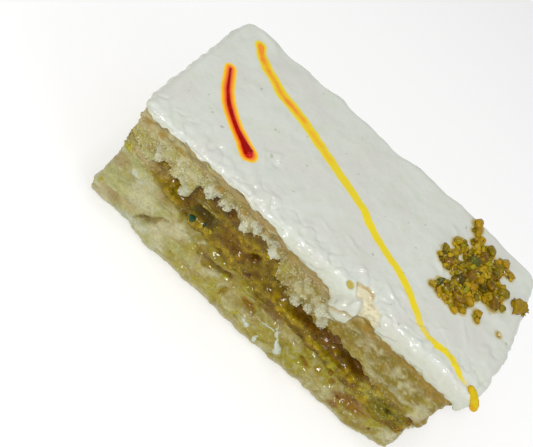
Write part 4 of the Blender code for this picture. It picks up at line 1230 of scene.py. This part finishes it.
# %% Stains on the malai
FAR = 9  # stored where a stain is far away
STREAK_END = -1.6  # the streak ends so far below the brim, in mm
streak_distance, streak_at = line_distance(x, y, STREAK)
streak = np.minimum(
    streak_distance / along(STREAK_WIDTH, streak_at),
    np.hypot(x - STREAK_START[0], y - STREAK_START[1]) / STREAK_START[2],
)
strand_distance, strand_at = line_distance(x, y, [(a, b) for a, b, _ in STRAND])
lengths = np.cumsum([0] + [math.dist(a[:2], b[:2]) for a, b in zip(STRAND, STRAND[1:])])
strand = strand_distance - along([(d, row[2]) for d, row in zip(lengths, STRAND)], strand_at)
stored = {
    "streak": np.where(inner | (over_edge < STREAK_END), FAR, streak),
    "streak_strength": along(STREAK_STRENGTH, streak_at),
    "streak_core": along(STREAK_HEAT, streak_at),
    "strand": np.where(inner, FAR, strand),
    "tear": tear,
    "drop": drop,
    # painted shadow of the flap's fold and of the torn spot's rim
    "fold": np.maximum(fold, tear_rim_shade),
    "thin": on_rim * (0.55 * ramp(share, 0.3, 0.0) + 0.45 * ramp(share, 1.2, 0.6)) * ~inner,
}
for name, values in stored.items():
    mark(malai, name, values)
print("stored on the malai:", ", ".join(stored))

# %% [markdown]
# ## Finishes of the layers
# The cake and the paste share one recipe. The painted colour is mottled by two sizes of
# noise, the light soaks in a little, and a thin wet coat carries the small highlights. The
# malai starts white. Its stains are mixed in by the distances stored on the mesh, so that
# their edges stay sharp on a coarse grid.

# %% Finishes of the layers
STREAK_YELLOW = (0.755, 0.6, 0.0)
STREAK_ORANGE = (0.84, 0.26, 0.0)
SAFFRON_RED = (0.30, 0.001, 0.0008)
SAFFRON_GLOW = (0.62, 0.015, 0.0)
HALO_ORANGE = (0.90, 0.20, 0.0)
HALO_YELLOW = (0.86, 0.56, 0.0)
BLUSH = (1.0, 0.86, 0.72)
MALAI_WHITE = (0.61, 0.635, 0.57)
MALAI_WARM = (0.60, 0.60, 0.545)
MALAI_THIN = (0.42, 0.43, 0.27)
MALAI_GREEN = (0.56, 0.60, 0.50)
DUST_GREY = (0.30, 0.28, 0.22)
TEAR_TAN, TEAR_PALE = (0.46, 0.36, 0.12), (0.66, 0.61, 0.42)
DROP_YELLOW = (0.42, 0.34, 0.05)
# tan painted as the shadow in the flap's fold
FOLD_SHADOW_TAN = (0.42, 0.30, 0.10)
SYRUP_YELLOW = (0.46, 0.34, 0.03)


def cake_finish(name, grain, gloss, soaking, relief_depth, wet, mottle=0.12):
    """Moist food: its painted colour, mottled by fibres along the bar and by finer specks."""
    made = Finish(name)
    fibres = made.noise(2.2, 4.0, 0.5, squash=2.6)
    fine = made.noise(grain, 5.0, 0.65)
    blush = made.fit(made.noise(1.9), 0.5, 0.68, 0.0, 0.32)
    colour = made.tint(made.stored("paint", "Color"), blush, BLUSH, "MULTIPLY")
    shade = made.fit(fibres, 0.3, 0.7, 0.90, 1.12)
    speck = made.fit(fine, 0.3, 0.7, 1.0 - mottle, 1.0 + mottle)
    for factor in (shade, speck):
        grey = made.nodes.new("ShaderNodeCombineColor")
        made.put_all(grey, {"Red": factor, "Green": factor, "Blue": factor})
        colour = made.tint(colour, 1.0, grey.outputs["Color"], "MULTIPLY")
    roughness = made.fit(fine, 0.35, 0.65, gloss - 0.08, gloss + 0.14)
    height = made.combined(fibres, fine, "ADD")
    return made.done(colour, roughness, 0.1, (wet, 0.12), (soaking, 1.0), (height, relief_depth))


def malai_finish():
    """White cream, with its stains and the painted shadow of its fold laid over it one by one."""
    made = Finish("malai")
    haze, fine = made.noise(3.0, 5.0), made.noise(0.7, 4.0, 0.6)
    wobble = made.fit(made.noise(1.6), 0.3, 0.7, -0.12, 0.12)
    ratio = made.combined(made.stored("streak"), wobble, "ADD")
    body = made.fit(ratio, 0.85, 1.2, 1.0, 0.0)
    patchy = made.fit(made.noise(2.2, 2.0), 0.35, 0.6, 0.45, 1.0)
    hot = made.combined(made.fit(ratio, 0.1, 0.7, 1.0, 0.0), made.stored("streak_core"), "MULTIPLY")
    hot = made.combined(hot, patchy, "MULTIPLY")
    away = made.stored("strand")
    layers = (
        (made.fit(made.noise(9.0), 0.42, 0.62, 0.0, 1.0), MALAI_WARM),
        (made.fit(haze, 0.48, 0.72, 0.0, 0.8), MALAI_GREEN),
        (made.fit(made.noise(1.5, 2.0, 0.3), 0.745, 0.77, 0.0, 0.5), DUST_GREY),
        (made.fit(made.stored("thin"), 0.0, 1.0, 0.0, 0.8), MALAI_THIN),
        (made.stored("tear"), made.tint(TEAR_TAN, made.fit(fine, 0.3, 0.5, 0.2, 1.0), TEAR_PALE)),
        (made.stored("drop"), DROP_YELLOW),
        # painted shadow in the fold and along the torn spot's rim
        (made.fit(made.stored("fold"), 0.15, 0.9, 0.0, 0.95), FOLD_SHADOW_TAN),
        (made.fit(made.stored("nut"), 0.0, 1.0, 0.0, 0.85), SYRUP_YELLOW),
        (
            made.combined(body, made.stored("streak_strength"), "MULTIPLY"),
            made.tint(STREAK_YELLOW, hot, STREAK_ORANGE),
        ),
        (made.fit(away, 1.05, 1.4, 1.0, 0.0), HALO_YELLOW),
        (made.fit(away, 0.45, 1.0, 1.0, 0.0), HALO_ORANGE),
        (made.fit(away, 0.0, 0.42, 1.0, 0.0), SAFFRON_GLOW),
    )
    colour = MALAI_WHITE
    for amount, other in layers:
        colour = made.tint(colour, amount, other)
    roughness = made.fit(haze, 0.3, 0.7, 0.2, 0.4)
    return made.done(colour, roughness, 0.2, (0.8, 0.05), (0.1, 0.8), (fine, 0.07))


finishes = {
    cake_bottom: cake_finish("soaked_cake", 0.45, 0.3, 0.1, 0.46, 0.5, 0.16),
    paste: cake_finish("saffron_nut_paste", 0.4, 0.22, 0.03, 0.34, 0.32, 0.24),
    upper: cake_finish("crumbly_cake", 0.4, 0.4, 0.1, 0.36, 0.25, 0.18),
}
for piece, finish in finishes.items():
    piece.data.materials.append(finish)
print("finishes:", len(finishes))


# %% [markdown]
# ## Grains, curds and chopped nuts
# Small things are modelled once in a few variants. A curd is a ball whose points are shaken
# a little. A chopped nut is a block with its corners sliced off by a few planes, the way a
# knife leaves it. The copies are turned, squashed and joined into one mesh for each kind.

# %% Helpers for small things


def take_template(made):
    """The points and faces of a modelled object, which is then removed."""
    places = read_places(made)
    faces = [tuple(face.vertices) for face in made.data.polygons]
    bpy.data.objects.remove(made)
    return places, faces


def curd_template(seed):
    """A ball about 1 mm in radius with its points shaken."""
    alone()
    bpy.ops.mesh.primitive_ico_sphere_add(subdivisions=1, radius=MM)
    edit_all()
    bpy.ops.transform.vertex_random(offset=0.16 * MM, uniform=0.6, normal=0.5, seed=seed)
    edit_done()
    return take_template(bpy.context.object)


def nut_template(seed, cuts=7):
    """A chopped nut about 1 mm in radius."""
    draw = random.Random(seed)
    alone()
    bpy.ops.mesh.primitive_cube_add(size=1.7 * MM)
    edit_all()
    for _ in range(cuts):
        normal = Vector([draw.uniform(-1, 1) for _ in range(3)]).normalized()
        bpy.ops.mesh.select_all(action="SELECT")
        bpy.ops.mesh.bisect(
            plane_co=normal * draw.uniform(0.62, 0.85) * MM, plane_no=normal,
            use_fill=True, clear_outer=True, threshold=0.000001,
        )
    bpy.ops.mesh.select_all(action="SELECT")
    bpy.ops.mesh.remove_doubles(threshold=0.02 * MM)
    bpy.ops.mesh.bevel(offset=0.16 * MM, offset_pct=0, segments=1, affect="EDGES")
    bpy.ops.mesh.remove_doubles(threshold=0.02 * MM)
    face_out()
    edit_done()
    return take_template(bpy.context.object)


def scatter(name, templates, spots, draw):
    """Joins copies at spots, each (place, normal, radius, squash, colour), into one mesh."""
    points, faces, colours = [], [], []
    start = 0
    for place, normal, radius, squash, colour in spots:
        shape, shape_faces = templates[draw.randrange(len(templates))]
        spin = Matrix.Rotation(draw.uniform(0, math.tau), 3, "Z")
        tip = Matrix.Rotation(draw.uniform(0, math.tau), 3, "X")
        stretch = Matrix.Diagonal((draw.uniform(0.85, 1.2), draw.uniform(0.8, 1.1), squash))
        face_out = Vector(normal).to_track_quat("Z", "Y").to_matrix()
        turn = np.array(face_out @ spin @ stretch @ tip)
        points.append(np.array(place) + radius * shape @ turn.T)
        faces.extend(tuple(start + index for index in face) for face in shape_faces)
        colours.append(np.tile(colour, (len(shape), 1)))
        start += len(shape)
    mesh = bpy.data.meshes.new(name)
    mesh.from_pydata((np.concatenate(points) * MM).tolist(), [], faces)
    made = bpy.data.objects.new(name, mesh)
    bpy.context.collection.objects.link(made)
    paint(made, "paint", np.concatenate(colours))
    shade_round(made)
    return made


def shaken(colour, draw, amount=0.15):
    """A colour made lighter or darker at random."""
    return np.array(colour) * draw.uniform(1 - amount, 1 + amount)


def surface_spots(made, wanted, count, draw, spacing):
    """Points of a mesh, as (index, place, normal), one for each cube of spacing mm."""
    places, normals = read_places(made), read_normals(made)
    choice = list(np.flatnonzero(wanted(places, normals)))
    draw.shuffle(choice)
    taken = set()
    spots = []
    for index in choice:
        cell = tuple(np.floor(places[index] / spacing).astype(int))
        if cell in taken:
            continue
        taken.add(cell)
        spots.append((index, places[index], normals[index]))
        if len(spots) == count:
            break
    return spots


def painted(made):
    """The colours stored on a mesh."""
    flat_colours = np.empty(len(made.data.vertices) * 4)
    made.data.attributes["paint"].data.foreach_get("color", flat_colours)
    return flat_colours.reshape(-1, 4)[:, :3]


def by_side(low, high):
    """A test for upright places of a cut side between two heights."""
    def wanted(places, normals):
        near_edge = from_side(places[:, 0], places[:, 1]) < 2.2
        height = places[:, 2]
        return (abs(normals[:, 2]) < 0.7) & near_edge & (height > low) & (height < high)
    return wanted


print("helpers for small things: two shapes, one rule for spots")

# %% [markdown]
# ## Curds
# White curds stand on the pale lobes of the torn edge, lie loose in the crumb below the skin,
# and stand in clouds on the other sides. They are kept apart by a simple rule: one for each
# little cube of space. Each takes its colour from the paint below it, made whiter, so that
# it belongs to its lobe.

# %% Curds
CURD_COUNT, CURD_SPACING, CURD_RADIUS = 1100, 0.55, (0.13, 0.28)
CURD_HEIGHTS = (12, 27.5)
draw = random.Random(5)
curd_shapes = [curd_template(seed) for seed in range(4)]


def crumbly_places(places, normals):
    u, v = seen_on_front(places)
    x, y, z = places.T
    lobes = np.maximum.reduce([patch(u, v, spot, 0.4) for spot in white_spots]) * (y < -15)
    crumbly = ramp(wave(x, y, 25, 3.0), 0.1, 0.4) * ramp(z, filling_top(x, y) + 2.6, filling_top(x, y) + 0.6)
    rolls = np.array([draw.random() for _ in range(len(u))])
    loose_crumb = 0.45 * ramp(x, 14, 4) * ramp(z, lip(x, y) - 1.4, lip(x, y) - 2.4)
    wanted = np.where(y < -15, np.maximum(lobes, loose_crumb), crumbly * 0.5)
    return by_side(*CURD_HEIGHTS)(places, normals) & (rolls < wanted)


curd_spots = []
crumb_paint = painted(upper)
for index, place, normal in surface_spots(upper, crumbly_places, CURD_COUNT, draw, CURD_SPACING):
    radius = draw.uniform(*CURD_RADIUS)
    shade = crumb_paint[index] * 0.72 + np.array(CRUMB_WHITE) * 0.28
    curd_spots.append((place + 0.1 * radius * normal, normal, radius, 0.8, shaken(shade, draw, 0.08)))
curds = scatter("curds", curd_shapes, curd_spots, draw)
curds.data.materials.append(cake_finish("curd", 0.6, 0.36, 0.3, 0.03, 0.15, 0.06))
print("curds:", len(curd_spots))

# %% [markdown]
# ## Grains of the paste
# Ground nut stands out of the syrup as soft grains. Each takes the colour that the paste
# has where it lies, a little lighter or darker, so that the painted shade of the hollows stays on them.

# %% Grains of the paste
PASTE_HEIGHTS = (6, 26)
GRAIN_COUNT, GRAIN_SPACING, GRAIN_RADIUS = 1700, 0.85, (0.16, 0.46)
grain_shapes = [curd_template(seed) for seed in range(10, 13)]
grain_spots = []
paste_paint = painted(paste)
for index, place, normal in surface_spots(paste, by_side(*PASTE_HEIGHTS), GRAIN_COUNT, draw, GRAIN_SPACING):
    radius = draw.uniform(*GRAIN_RADIUS)
    colour = shaken(paste_paint[index], draw, 0.3)
    grain_spots.append((place - 0.15 * radius * normal, normal, radius, 0.8, colour))
paste_grains = scatter("paste_grains", grain_shapes, grain_spots, draw)
paste_grains.data.materials.append(cake_finish("sticky_grain", 0.5, 0.2, 0.04, 0.06, 0.6))
print("grains:", len(grain_spots))

# %% [markdown]
# ## Sugar glints
# Tiny, nearly white specks on the cut sides are painted highlights for the glints of the wet
# syrup, modelled as sugar crystals that the syrup dried into. They are the same shaken balls
# as the grains, much smaller.

# %% Sugar glints
GLINT_SPECK_WHITE = (0.64, 0.64, 0.50)
GLINT_SPECK_SPACING, GLINT_SPECK_RADIUS = 0.7, (0.06, 0.12)
GLINT_SPECK_SPOTS = (
    # piece, count, lowest and highest place
    (cake_bottom, 270, 0, 16), (paste, 330, *PASTE_HEIGHTS), (upper, 120, 13, 28),
)
glint_speck_spots = []
for piece, count, low, high in GLINT_SPECK_SPOTS:
    for _, place, normal in surface_spots(piece, by_side(low, high), count, draw, GLINT_SPECK_SPACING):
        radius = draw.uniform(*GLINT_SPECK_RADIUS)
        # nearly white specks: painted highlights
        glint_speck_spots.append((place, normal, radius, 0.8, shaken(GLINT_SPECK_WHITE, draw, 0.2)))
sugar_glints = scatter("sugar_glint_specks", grain_shapes, glint_speck_spots, draw)
sugar_glints.data.materials.append(cake_finish("sugar_glints", 0.3, 0.15, 0.3, 0.01, 0.4, 0.05))
print("sugar crystals:", len(glint_speck_spots))

# %% [markdown]
# ## Crushed pistachio
# The pistachio was dropped on in a loose heap, wet with saffron syrup. The pieces that give
# its outline are placed one by one, and smaller ones fill the gaps by a seeded rule.

# %% Sizes of the pistachio
NUT_COLOURS = {
    "amber": (0.34, 0.20, 0.001), "yellow": (0.37, 0.25, 0.001), "olive": (0.19, 0.14, 0.001),
    "brown": (0.17, 0.085, 0.001), "dark": (0.08, 0.06, 0.002), "green": (0.05, 0.065, 0.012),
    "lime": (0.27, 0.24, 0.002), "pale": (0.62, 0.50, 0.24),
}
KEY_NUTS = (
    (23.6, 18.6, 1.45, "amber"), (24.4, 16.4, 1.15, "amber"), (25.0, 14.3, 0.9, "amber"),
    (21.6, 9.9, 1.05, "yellow"), (22.8, 11.6, 0.65, "olive"), (23.4, 9.3, 0.7, "yellow"),
    (26.0, 15.3, 0.85, "amber"), (25.6, 13.2, 0.95, "yellow"), (20.3, 6.0, 1.0, "olive"),
    (19.9, 3.9, 0.7, "yellow"), (22.0, 3.7, 1.35, "brown"), (23.3, 5.2, 0.9, "olive"),
    (22.2, 7.2, 0.85, "yellow"), (27.9, 12.0, 1.3, "brown"), (27.6, 10.2, 1.1, "brown"),
    (28.7, 14.8, 1.2, "olive"), (29.2, 11.4, 0.9, "lime"), (32.6, 14.8, 1.15, "amber"),
    (32.0, 12.4, 1.2, "olive"), (31.9, 10.8, 0.9, "olive"), (34.8, 13.6, 1.0, "amber"),
    (30.0, 8.6, 1.1, "yellow"), (25.5, 1.9, 1.3, "dark"), (22.6, -1.5, 0.9, "green"),
    (21.5, -3.6, 0.8, "yellow"), (23.2, -3.9, 0.9, "amber"), (24.4, -2.4, 0.95, "olive"),
    (27.6, 0.8, 0.95, "lime"), (30.6, 4.4, 1.5, "dark"), (31.9, 6.6, 1.35, "brown"),
    (33.2, 9.0, 0.9, "yellow"), (34.9, 7.6, 1.4, "olive"), (27.6, -2.2, 1.3, "brown"),
    (26.2, -4.2, 0.9, "yellow"), (29.4, -0.8, 1.25, "amber"), (33.0, 3.7, 0.95, "yellow"),
    (34.2, 3.0, 1.45, "brown"), (36.0, 4.2, 0.9, "olive"), (27.7, -5.0, 0.8, "amber"),
    (29.2, -3.8, 0.9, "amber"), (32.2, -1.5, 1.0, "amber"), (32.6, -3.1, 0.75, "amber"),
    (27.6, 5.0, 1.3, "brown"), (25.0, 6.0, 1.0, "olive"), (28.8, 2.9, 1.1, "amber"),
    (26.0, 3.8, 0.9, "brown"), (29.8, 6.0, 0.9, "amber"), (38.0, -1.8, 0.7, "pale"),
)
NUT_AREAS = (
    (24.0, 17.5, 1.0, 1.8), (22.6, 9.9, 1.8, 1.8), (25.8, 13.6, 1.6, 1.8), (28.5, 14.0, 1.4, 1.6),
    (27.5, 9.4, 3.2, 3.4), (32.0, 12.8, 1.4, 2.6), (34.6, 13.4, 0.9, 1.0), (22.0, 4.6, 2.2, 2.4),
    (27.5, 3.8, 4.0, 4.6), (32.6, 6.2, 3.2, 3.8), (25.8, -2.6, 4.2, 2.6), (32.3, -2.2, 0.5, 1.4),
)
FILL_TRIES = 9000
FILL_SPACING = 0.72
FILL_RADIUS = (0.42, 0.82)
FILL_KINDS = {"amber": 5, "yellow": 6, "olive": 4, "brown": 3, "dark": 1, "lime": 1}
NUT_GOLD, NUT_DARK = (0.46, 0.30, 0.001), (0.07, 0.04, 0.001)
print("placed nuts:", len(KEY_NUTS), "and areas to fill:", len(NUT_AREAS))

# %% [markdown]
# A nut is dropped at a random place of an area and kept only if it has room beside those that
# lie there. The cream then stores how near each point lies to a nut, for a rim of syrup.

# %% Crushed pistachio


def malai_height(x, y):
    """The top of the cream at one place."""
    x, y = np.array([x]), np.array([y])
    return float((icing_surface(x, y) + 0.09 * wave(x, y, 40, 2.6))[0])


def lay_nut(x, y, radius, kind, rise, lean, squash, change):
    height = malai_height(x, y) + rise * radius
    tilt = Vector((draw.uniform(-lean, lean), draw.uniform(-lean, lean), 1)).normalized()
    nut_spots.append(((x, y, height), tilt, radius, squash, shaken(NUT_COLOURS[kind], draw, change)))


draw = random.Random(23)
nut_shapes = [nut_template(seed) for seed in range(8)]
nut_spots = []
for row in KEY_NUTS:
    lay_nut(*row, 0.35, 0.4, 0.75, 0.15)
for _ in range(FILL_TRIES):
    area = draw.choice(NUT_AREAS)
    angle, reach = draw.uniform(0, math.tau), math.sqrt(draw.random())
    x = area[0] + area[2] * reach * math.cos(angle)
    y = area[1] + area[3] * reach * math.sin(angle)
    radius = draw.uniform(*FILL_RADIUS)
    room = min(math.dist((x, y), spot[0][:2]) - 0.55 * spot[2] for spot in nut_spots)
    if room >= FILL_SPACING * radius:
        kind = draw.choices(tuple(FILL_KINDS), tuple(FILL_KINDS.values()))[0]
        lay_nut(x, y, radius, kind, 0.3, 0.5, 0.8, 0.25)
pistachio = scatter("crushed_pistachio", nut_shapes, nut_spots, draw)

places = read_places(malai)
nearest = np.full(len(places), 9.0)
for place, _, radius, _, _ in nut_spots:
    nearest = np.minimum(nearest, np.hypot(places[:, 0] - place[0], places[:, 1] - place[1]) - radius)
mark(malai, "nut", np.where(places[:, 2] > 28, ramp(nearest, 0.55, -0.1), 0))
malai.data.materials.append(malai_finish())
print("pistachio pieces:", len(nut_spots))

# %% [markdown]
# Wet pistachio is mottled: golden where the syrup lies thick, dark where the skin shows. The
# same finish serves the green kernel, the wedge and the bits in the filling, each with less
# of the gold or the dark.

# %% Finish of the pistachio


def nut_finish(name="wet_pistachio", dark=0.6, gold=0.7):
    made = Finish(name)
    mottle = made.noise(0.9, 4.0, 0.6)
    golden, darkened = made.fit(mottle, 0.5, 0.7, 0.0, gold), made.fit(mottle, 0.46, 0.32, 0.0, dark)
    colour = made.tint(made.stored("paint", "Color"), golden, NUT_GOLD)
    colour = made.tint(colour, darkened, NUT_DARK)
    return made.done(colour, 0.24, 0.12, (0.28, 0.05), (0.04, 0.5), (mottle, 0.2))


pistachio.data.materials.append(nut_finish())
print("finish:", pistachio.data.materials[0].name)

# %% [markdown]
# ## Whole bits of pistachio
# Two bits are large enough to have a form of their own: a smooth green kernel and a chopped
# wedge near the right end. The kernel is a ball drawn long and shaken a little, then smoothed
# by Subdivision Surface. The wedge is a block, subdivided and shaken until it is ragged, with
# its edges bevelled.

# %% Whole bits of pistachio
KERNEL = (26.6, 8.9, 1.65, 1.15, 28)
WEDGE = (39.1, 7.7, 1.6, 1.45, 42)
KERNEL_GREEN = (0.075, 0.085, 0.004)
WEDGE_LIME = (0.27, 0.17, 0.002)


def set_down(made, name, spot, sink, colour, finish):
    """Turns a modelled bit, sets it in the cream and gives it its colour."""
    x, y, _, _, turn = spot
    made.name = name
    made.rotation_euler = (0.12, -0.1, math.radians(turn))
    made.location = (x * MM, y * MM, (malai_height(x, y) + sink) * MM)
    apply_place()
    paint(made, "paint", np.tile(colour, (len(made.data.vertices), 1)))
    shade_round(made)
    made.data.materials.append(finish)
    return made


def stretched(x, y, z):
    """Scales the primitive that was just made, and goes into edit mode."""
    made = bpy.context.object
    made.scale = (x, y, z)
    apply_place()
    edit_all()
    return made


alone()
bpy.ops.mesh.primitive_uv_sphere_add(segments=20, ring_count=12, radius=MM)
kernel = stretched(KERNEL[2], KERNEL[3], 0.85)
bpy.ops.transform.vertex_random(offset=0.12 * MM, uniform=0.2, normal=0.8, seed=3)
edit_done()
apply_modifier(kernel, "SUBSURF", levels=2, render_levels=2)
set_down(kernel, "pistachio_kernel", KERNEL, 0.45, KERNEL_GREEN, nut_finish("green_kernel", 0.5))

alone()
bpy.ops.mesh.primitive_cube_add(size=2 * MM)
wedge = stretched(WEDGE[2], WEDGE[3], 0.7)
bpy.ops.mesh.subdivide(number_cuts=2)
bpy.ops.transform.vertex_random(offset=0.62 * MM, uniform=0.6, normal=0.2, seed=8)
bpy.ops.mesh.bevel(offset=0.12 * MM, offset_pct=0, segments=1, affect="EDGES")
bpy.ops.mesh.remove_doubles(threshold=0.02 * MM)
edit_done()
set_down(wedge, "pistachio_wedge", WEDGE, 0.25, WEDGE_LIME, nut_finish("pale_pistachio", 0.25))
print("kernel and wedge:", len(kernel.data.polygons), len(wedge.data.polygons), "faces")

# %% [markdown]
# ## Saffron
# One soaked strand lies on the malai with its wet head at the end, and a lump of yellow
# paste from the streak has run over the corner. Lumps are balls melted into one by a voxel
# remesh, which welds them without the seams of a Boolean, and then smoothed.

# %% Helpers for lumps
LUMP = (
    (37.8, -16.9, 29.3, 0.7), (38.4, -17.2, 29.2, 0.8), (39.0, -17.6, 29.0, 0.85), (39.6, -18.0, 28.7, 0.85),
    (40.1, -18.3, 28.3, 0.85), (40.4, -18.5, 27.8, 0.8),
)
HEAD_BLOBS = (
    (-20.9, -10.4, 0.45), (-20.3, -10.9, 0.4), (-20.4, -10.2, 0.36),
    (-21.6, -10.0, 0.36), (-20.7, -11.1, 0.3),
)


def blob_cluster(name, balls, voxel, finish):
    """Balls, each (x, y, z, radius) in mm, melted into one lump."""
    alone()
    parts = []
    for x, y, z, radius in balls:
        bpy.ops.mesh.primitive_uv_sphere_add(
            segments=24, ring_count=16, radius=radius * MM, location=(x * MM, y * MM, z * MM)
        )
        parts.append(bpy.context.object)
    for part in parts:
        part.select_set(True)
    bpy.context.view_layer.objects.active = parts[0]
    bpy.ops.object.join()
    made = bpy.context.object
    made.name = name
    apply_place()
    apply_modifier(made, "REMESH", mode="VOXEL", voxel_size=voxel * MM)
    apply_modifier(made, "SMOOTH", factor=0.6, iterations=3)
    shade_round(made)
    made.data.materials.append(finish)
    return made


def syrup_finish(name, colour, other, size, wet=0.25):
    """Syrup or milk, mottled with another colour in patches about size mm across."""
    made = Finish(name)
    mottle = made.noise(size)
    mixed = made.tint(colour, made.fit(mottle, 0.45, 0.65, 0.0, 1.0), other)
    return made.done(mixed, 0.3, 0.1, (wet, 0.04), (0.05, 0.5), (mottle, 0.08))


print("balls of the lump and of the head:", len(LUMP), len(HEAD_BLOBS))

# %% [markdown]
# The strand is a tube that thickens towards the head. A curve draws it, because its radius can
# change from point to point, and it is then made a mesh. It is sunk in the cream, whose
# stain round it is painted. The head is a cluster of small wet blobs.

# %% Saffron
path = bpy.data.curves.new("saffron_strand", "CURVE")
path.dimensions = "3D"
path.bevel_depth = MM
path.bevel_resolution = 3
path.use_fill_caps = True
spline = path.splines.new("NURBS")
spline.points.add(len(STRAND) - 1)
for point, (x, y, radius) in zip(spline.points, STRAND):
    point.co = (x * MM, y * MM, (malai_height(x, y) + 0.25 * radius) * MM, 1)
    point.radius = radius
spline.use_endpoint_u = True
spline.order_u = 4
spline.resolution_u = 12
guide = bpy.data.objects.new("saffron_guide", path)
bpy.context.collection.objects.link(guide)
bpy.context.view_layer.update()
strand_mesh = bpy.data.meshes.new_from_object(guide.evaluated_get(bpy.context.evaluated_depsgraph_get()))
bpy.data.objects.remove(guide)
saffron_strand = bpy.data.objects.new("saffron_strand", strand_mesh)
bpy.context.collection.objects.link(saffron_strand)
alone()
saffron_strand.select_set(True)
bpy.context.view_layer.objects.active = saffron_strand
edit_all()
bpy.ops.mesh.remove_doubles(threshold=0.01 * MM)
face_out()
edit_done()
strand_mesh.materials.clear()
strand_mesh.materials.append(syrup_finish("wet_saffron", SAFFRON_RED, (0.42, 0.004, 0.002), 1.2, 0.06))
shade_round(saffron_strand)
head_balls = [(x, y, malai_height(x, y) + 0.35 * radius, radius) for x, y, radius in HEAD_BLOBS]
head_finish = syrup_finish("wet_saffron_head", (0.42, 0.004, 0.003), (0.62, 0.02, 0.012), 0.6)
saffron_head = blob_cluster("saffron_head", head_balls, 0.08, head_finish)
lump_finish = syrup_finish("saffron_syrup", (0.56, 0.44, 0.0), (0.6, 0.3, 0.0), 1.6)
saffron_lump = blob_cluster("saffron_lump", LUMP, 0.11, lump_finish)
print("saffron:", len(saffron_head.data.polygons), "faces in the head")

# %% [markdown]
# ## Bits in the filling
# Chopped bits of nut and cardamom are pressed into the front. Each is set on the point of the
# cut face that the camera sees there, so that it touches the cake from every side.

# %% Bits in the filling
BITS = (
    (-20.8, 16.2, 0.75, 0.9, (0.008, 0.060, 0.020)), (-18.3, 16.9, 0.42, 0.7, (0.012, 0.045, 0.012)),
    (-18.0, 16.2, 0.34, 0.7, (0.012, 0.045, 0.012)), (-16.4, 16.5, 0.42, 0.7, (0.34, 0.27, 0.002)),
    (-15.9, 16.4, 0.34, 0.7, (0.34, 0.27, 0.002)), (-5.6, 14.2, 0.38, 0.7, (0.10, 0.012, 0.003)),
    (-5.1, 14.3, 0.26, 0.7, (0.10, 0.012, 0.003)), (-7.5, 19.3, 0.52, 0.6, (0.14, 0.06, 0.003)),
    (-6.9, 19.2, 0.46, 0.6, (0.14, 0.06, 0.003)), (12.3, 13.6, 0.5, 0.6, (0.12, 0.055, 0.002)),
    (19.6, 8.8, 0.55, 0.6, (0.19, 0.10, 0.004)), (33.6, 3.4, 0.42, 0.6, (0.16, 0.07, 0.004)),
)
FRONT_REACH = 0.45  # how far from its mark a bit may be set, in mm


eye = np.array(camera.location) / MM
side_places = np.concatenate([read_places(piece) for piece in (cake_bottom, paste, upper)])
side_normals = np.concatenate([read_normals(piece) for piece in (cake_bottom, paste, upper)])
side_u, side_v = seen_on_front(side_places)
side_reach = np.linalg.norm(side_places - eye, axis=1)
side_hidden = (side_places[:, 1] > -12) | (side_normals[:, 1] > -0.2)


def on_front(u, v):
    """The place and normal of the point of the cut face that the camera sees at (u, v)."""
    away = np.hypot(side_u - u, side_v - v)
    index = int(np.argmin(side_reach + 1000 * (side_hidden | (away > FRONT_REACH))))
    return side_places[index], side_normals[index]


draw = random.Random(77)
bit_spots = []
for u, v, radius, squash, colour in BITS:
    place, normal = on_front(u, v)
    bit_spots.append((place + 0.5 * radius * normal, normal, radius, squash, colour))
filling_bits = scatter("filling_bits", nut_shapes, bit_spots, draw)
filling_bits.data.materials.append(nut_finish("wet_bit", 0.1, 0.05))
print("bits:", len(bit_spots))

# %% [markdown]
# ## Milk drips
# The soaked cake weeps a few drips of thick milk. Each is a row of balls, close enough to melt
# into a thread that thickens towards its end, and sunk by half into the cake.

# %% Milk drips
MILK_DRIPS = (
    # start, end, radius at the start and at the end
    ((6.2, 8.0), (6.4, 5.7), 0.22, 0.42), ((8.2, 4.4), (9.5, 1.8), 0.30, 0.85),
    ((4.2, 1.2), (4.6, -0.8), 0.26, 0.50), ((-0.2, 2.2), (0.9, 1.8), 0.45, 0.55),
    ((1.0, 5.4), (2.7, 6.0), 0.14, 0.20), ((2.7, 6.0), (5.7, 6.3), 0.20, 0.22),
    ((6.9, 5.6), (8.2, 4.4), 0.22, 0.28),
)
drip_balls = []
for start, end, thin, thick in MILK_DRIPS:
    count = max(3, round(math.dist(start, end) / (0.6 * thin)))
    for step in range(count):
        share = step / (count - 1)
        radius = thin + share * (thick - thin)
        place, normal = on_front(*(a + share * (b - a) for a, b in zip(start, end)))
        drip_balls.append((*(place - 0.45 * radius * normal), radius))
milk_finish = syrup_finish("thick_milk", (0.50, 0.55, 0.45), (0.42, 0.41, 0.24), 1.4)
milk_drips = blob_cluster("milk_drips", drip_balls, 0.09, milk_finish)
print("drips:", len(MILK_DRIPS))

# %% [markdown]
# ## Ride
# Every piece rides on the one body. The four layers stand for the four solids of the frame,
# which are hidden, and the small things lie loose on them, listed by what they belong to.

# %% Ride
stands_for = {
    cake_bottom: ("bottom_layer", "milk_cake"),
    paste: ("filling", "saffron_paste"),
    upper: ("top_layer", "milk_cake"),
    malai: ("malai_topping", "malai"),
}
loose = {
    "milk_cake": (curds, sugar_glints),
    "saffron_paste": (paste_grains, saffron_strand, saffron_head, saffron_lump, filling_bits),
    "malai": (pistachio, kernel, wedge, milk_drips),
}
for piece, (node, slot) in stands_for.items():
    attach(piece, "root")
    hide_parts(node)
for slot, pieces in loose.items():
    for piece in pieces:
        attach(piece, "root")
print("pieces:", len(stands_for) + sum(len(pieces) for pieces in loose.values()))

visual_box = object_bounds()
for name, box in (("solids", cad_box), ("looks", visual_box)):
    print(name, [round(high - low, 5) for low, high in zip(*box)], "m")
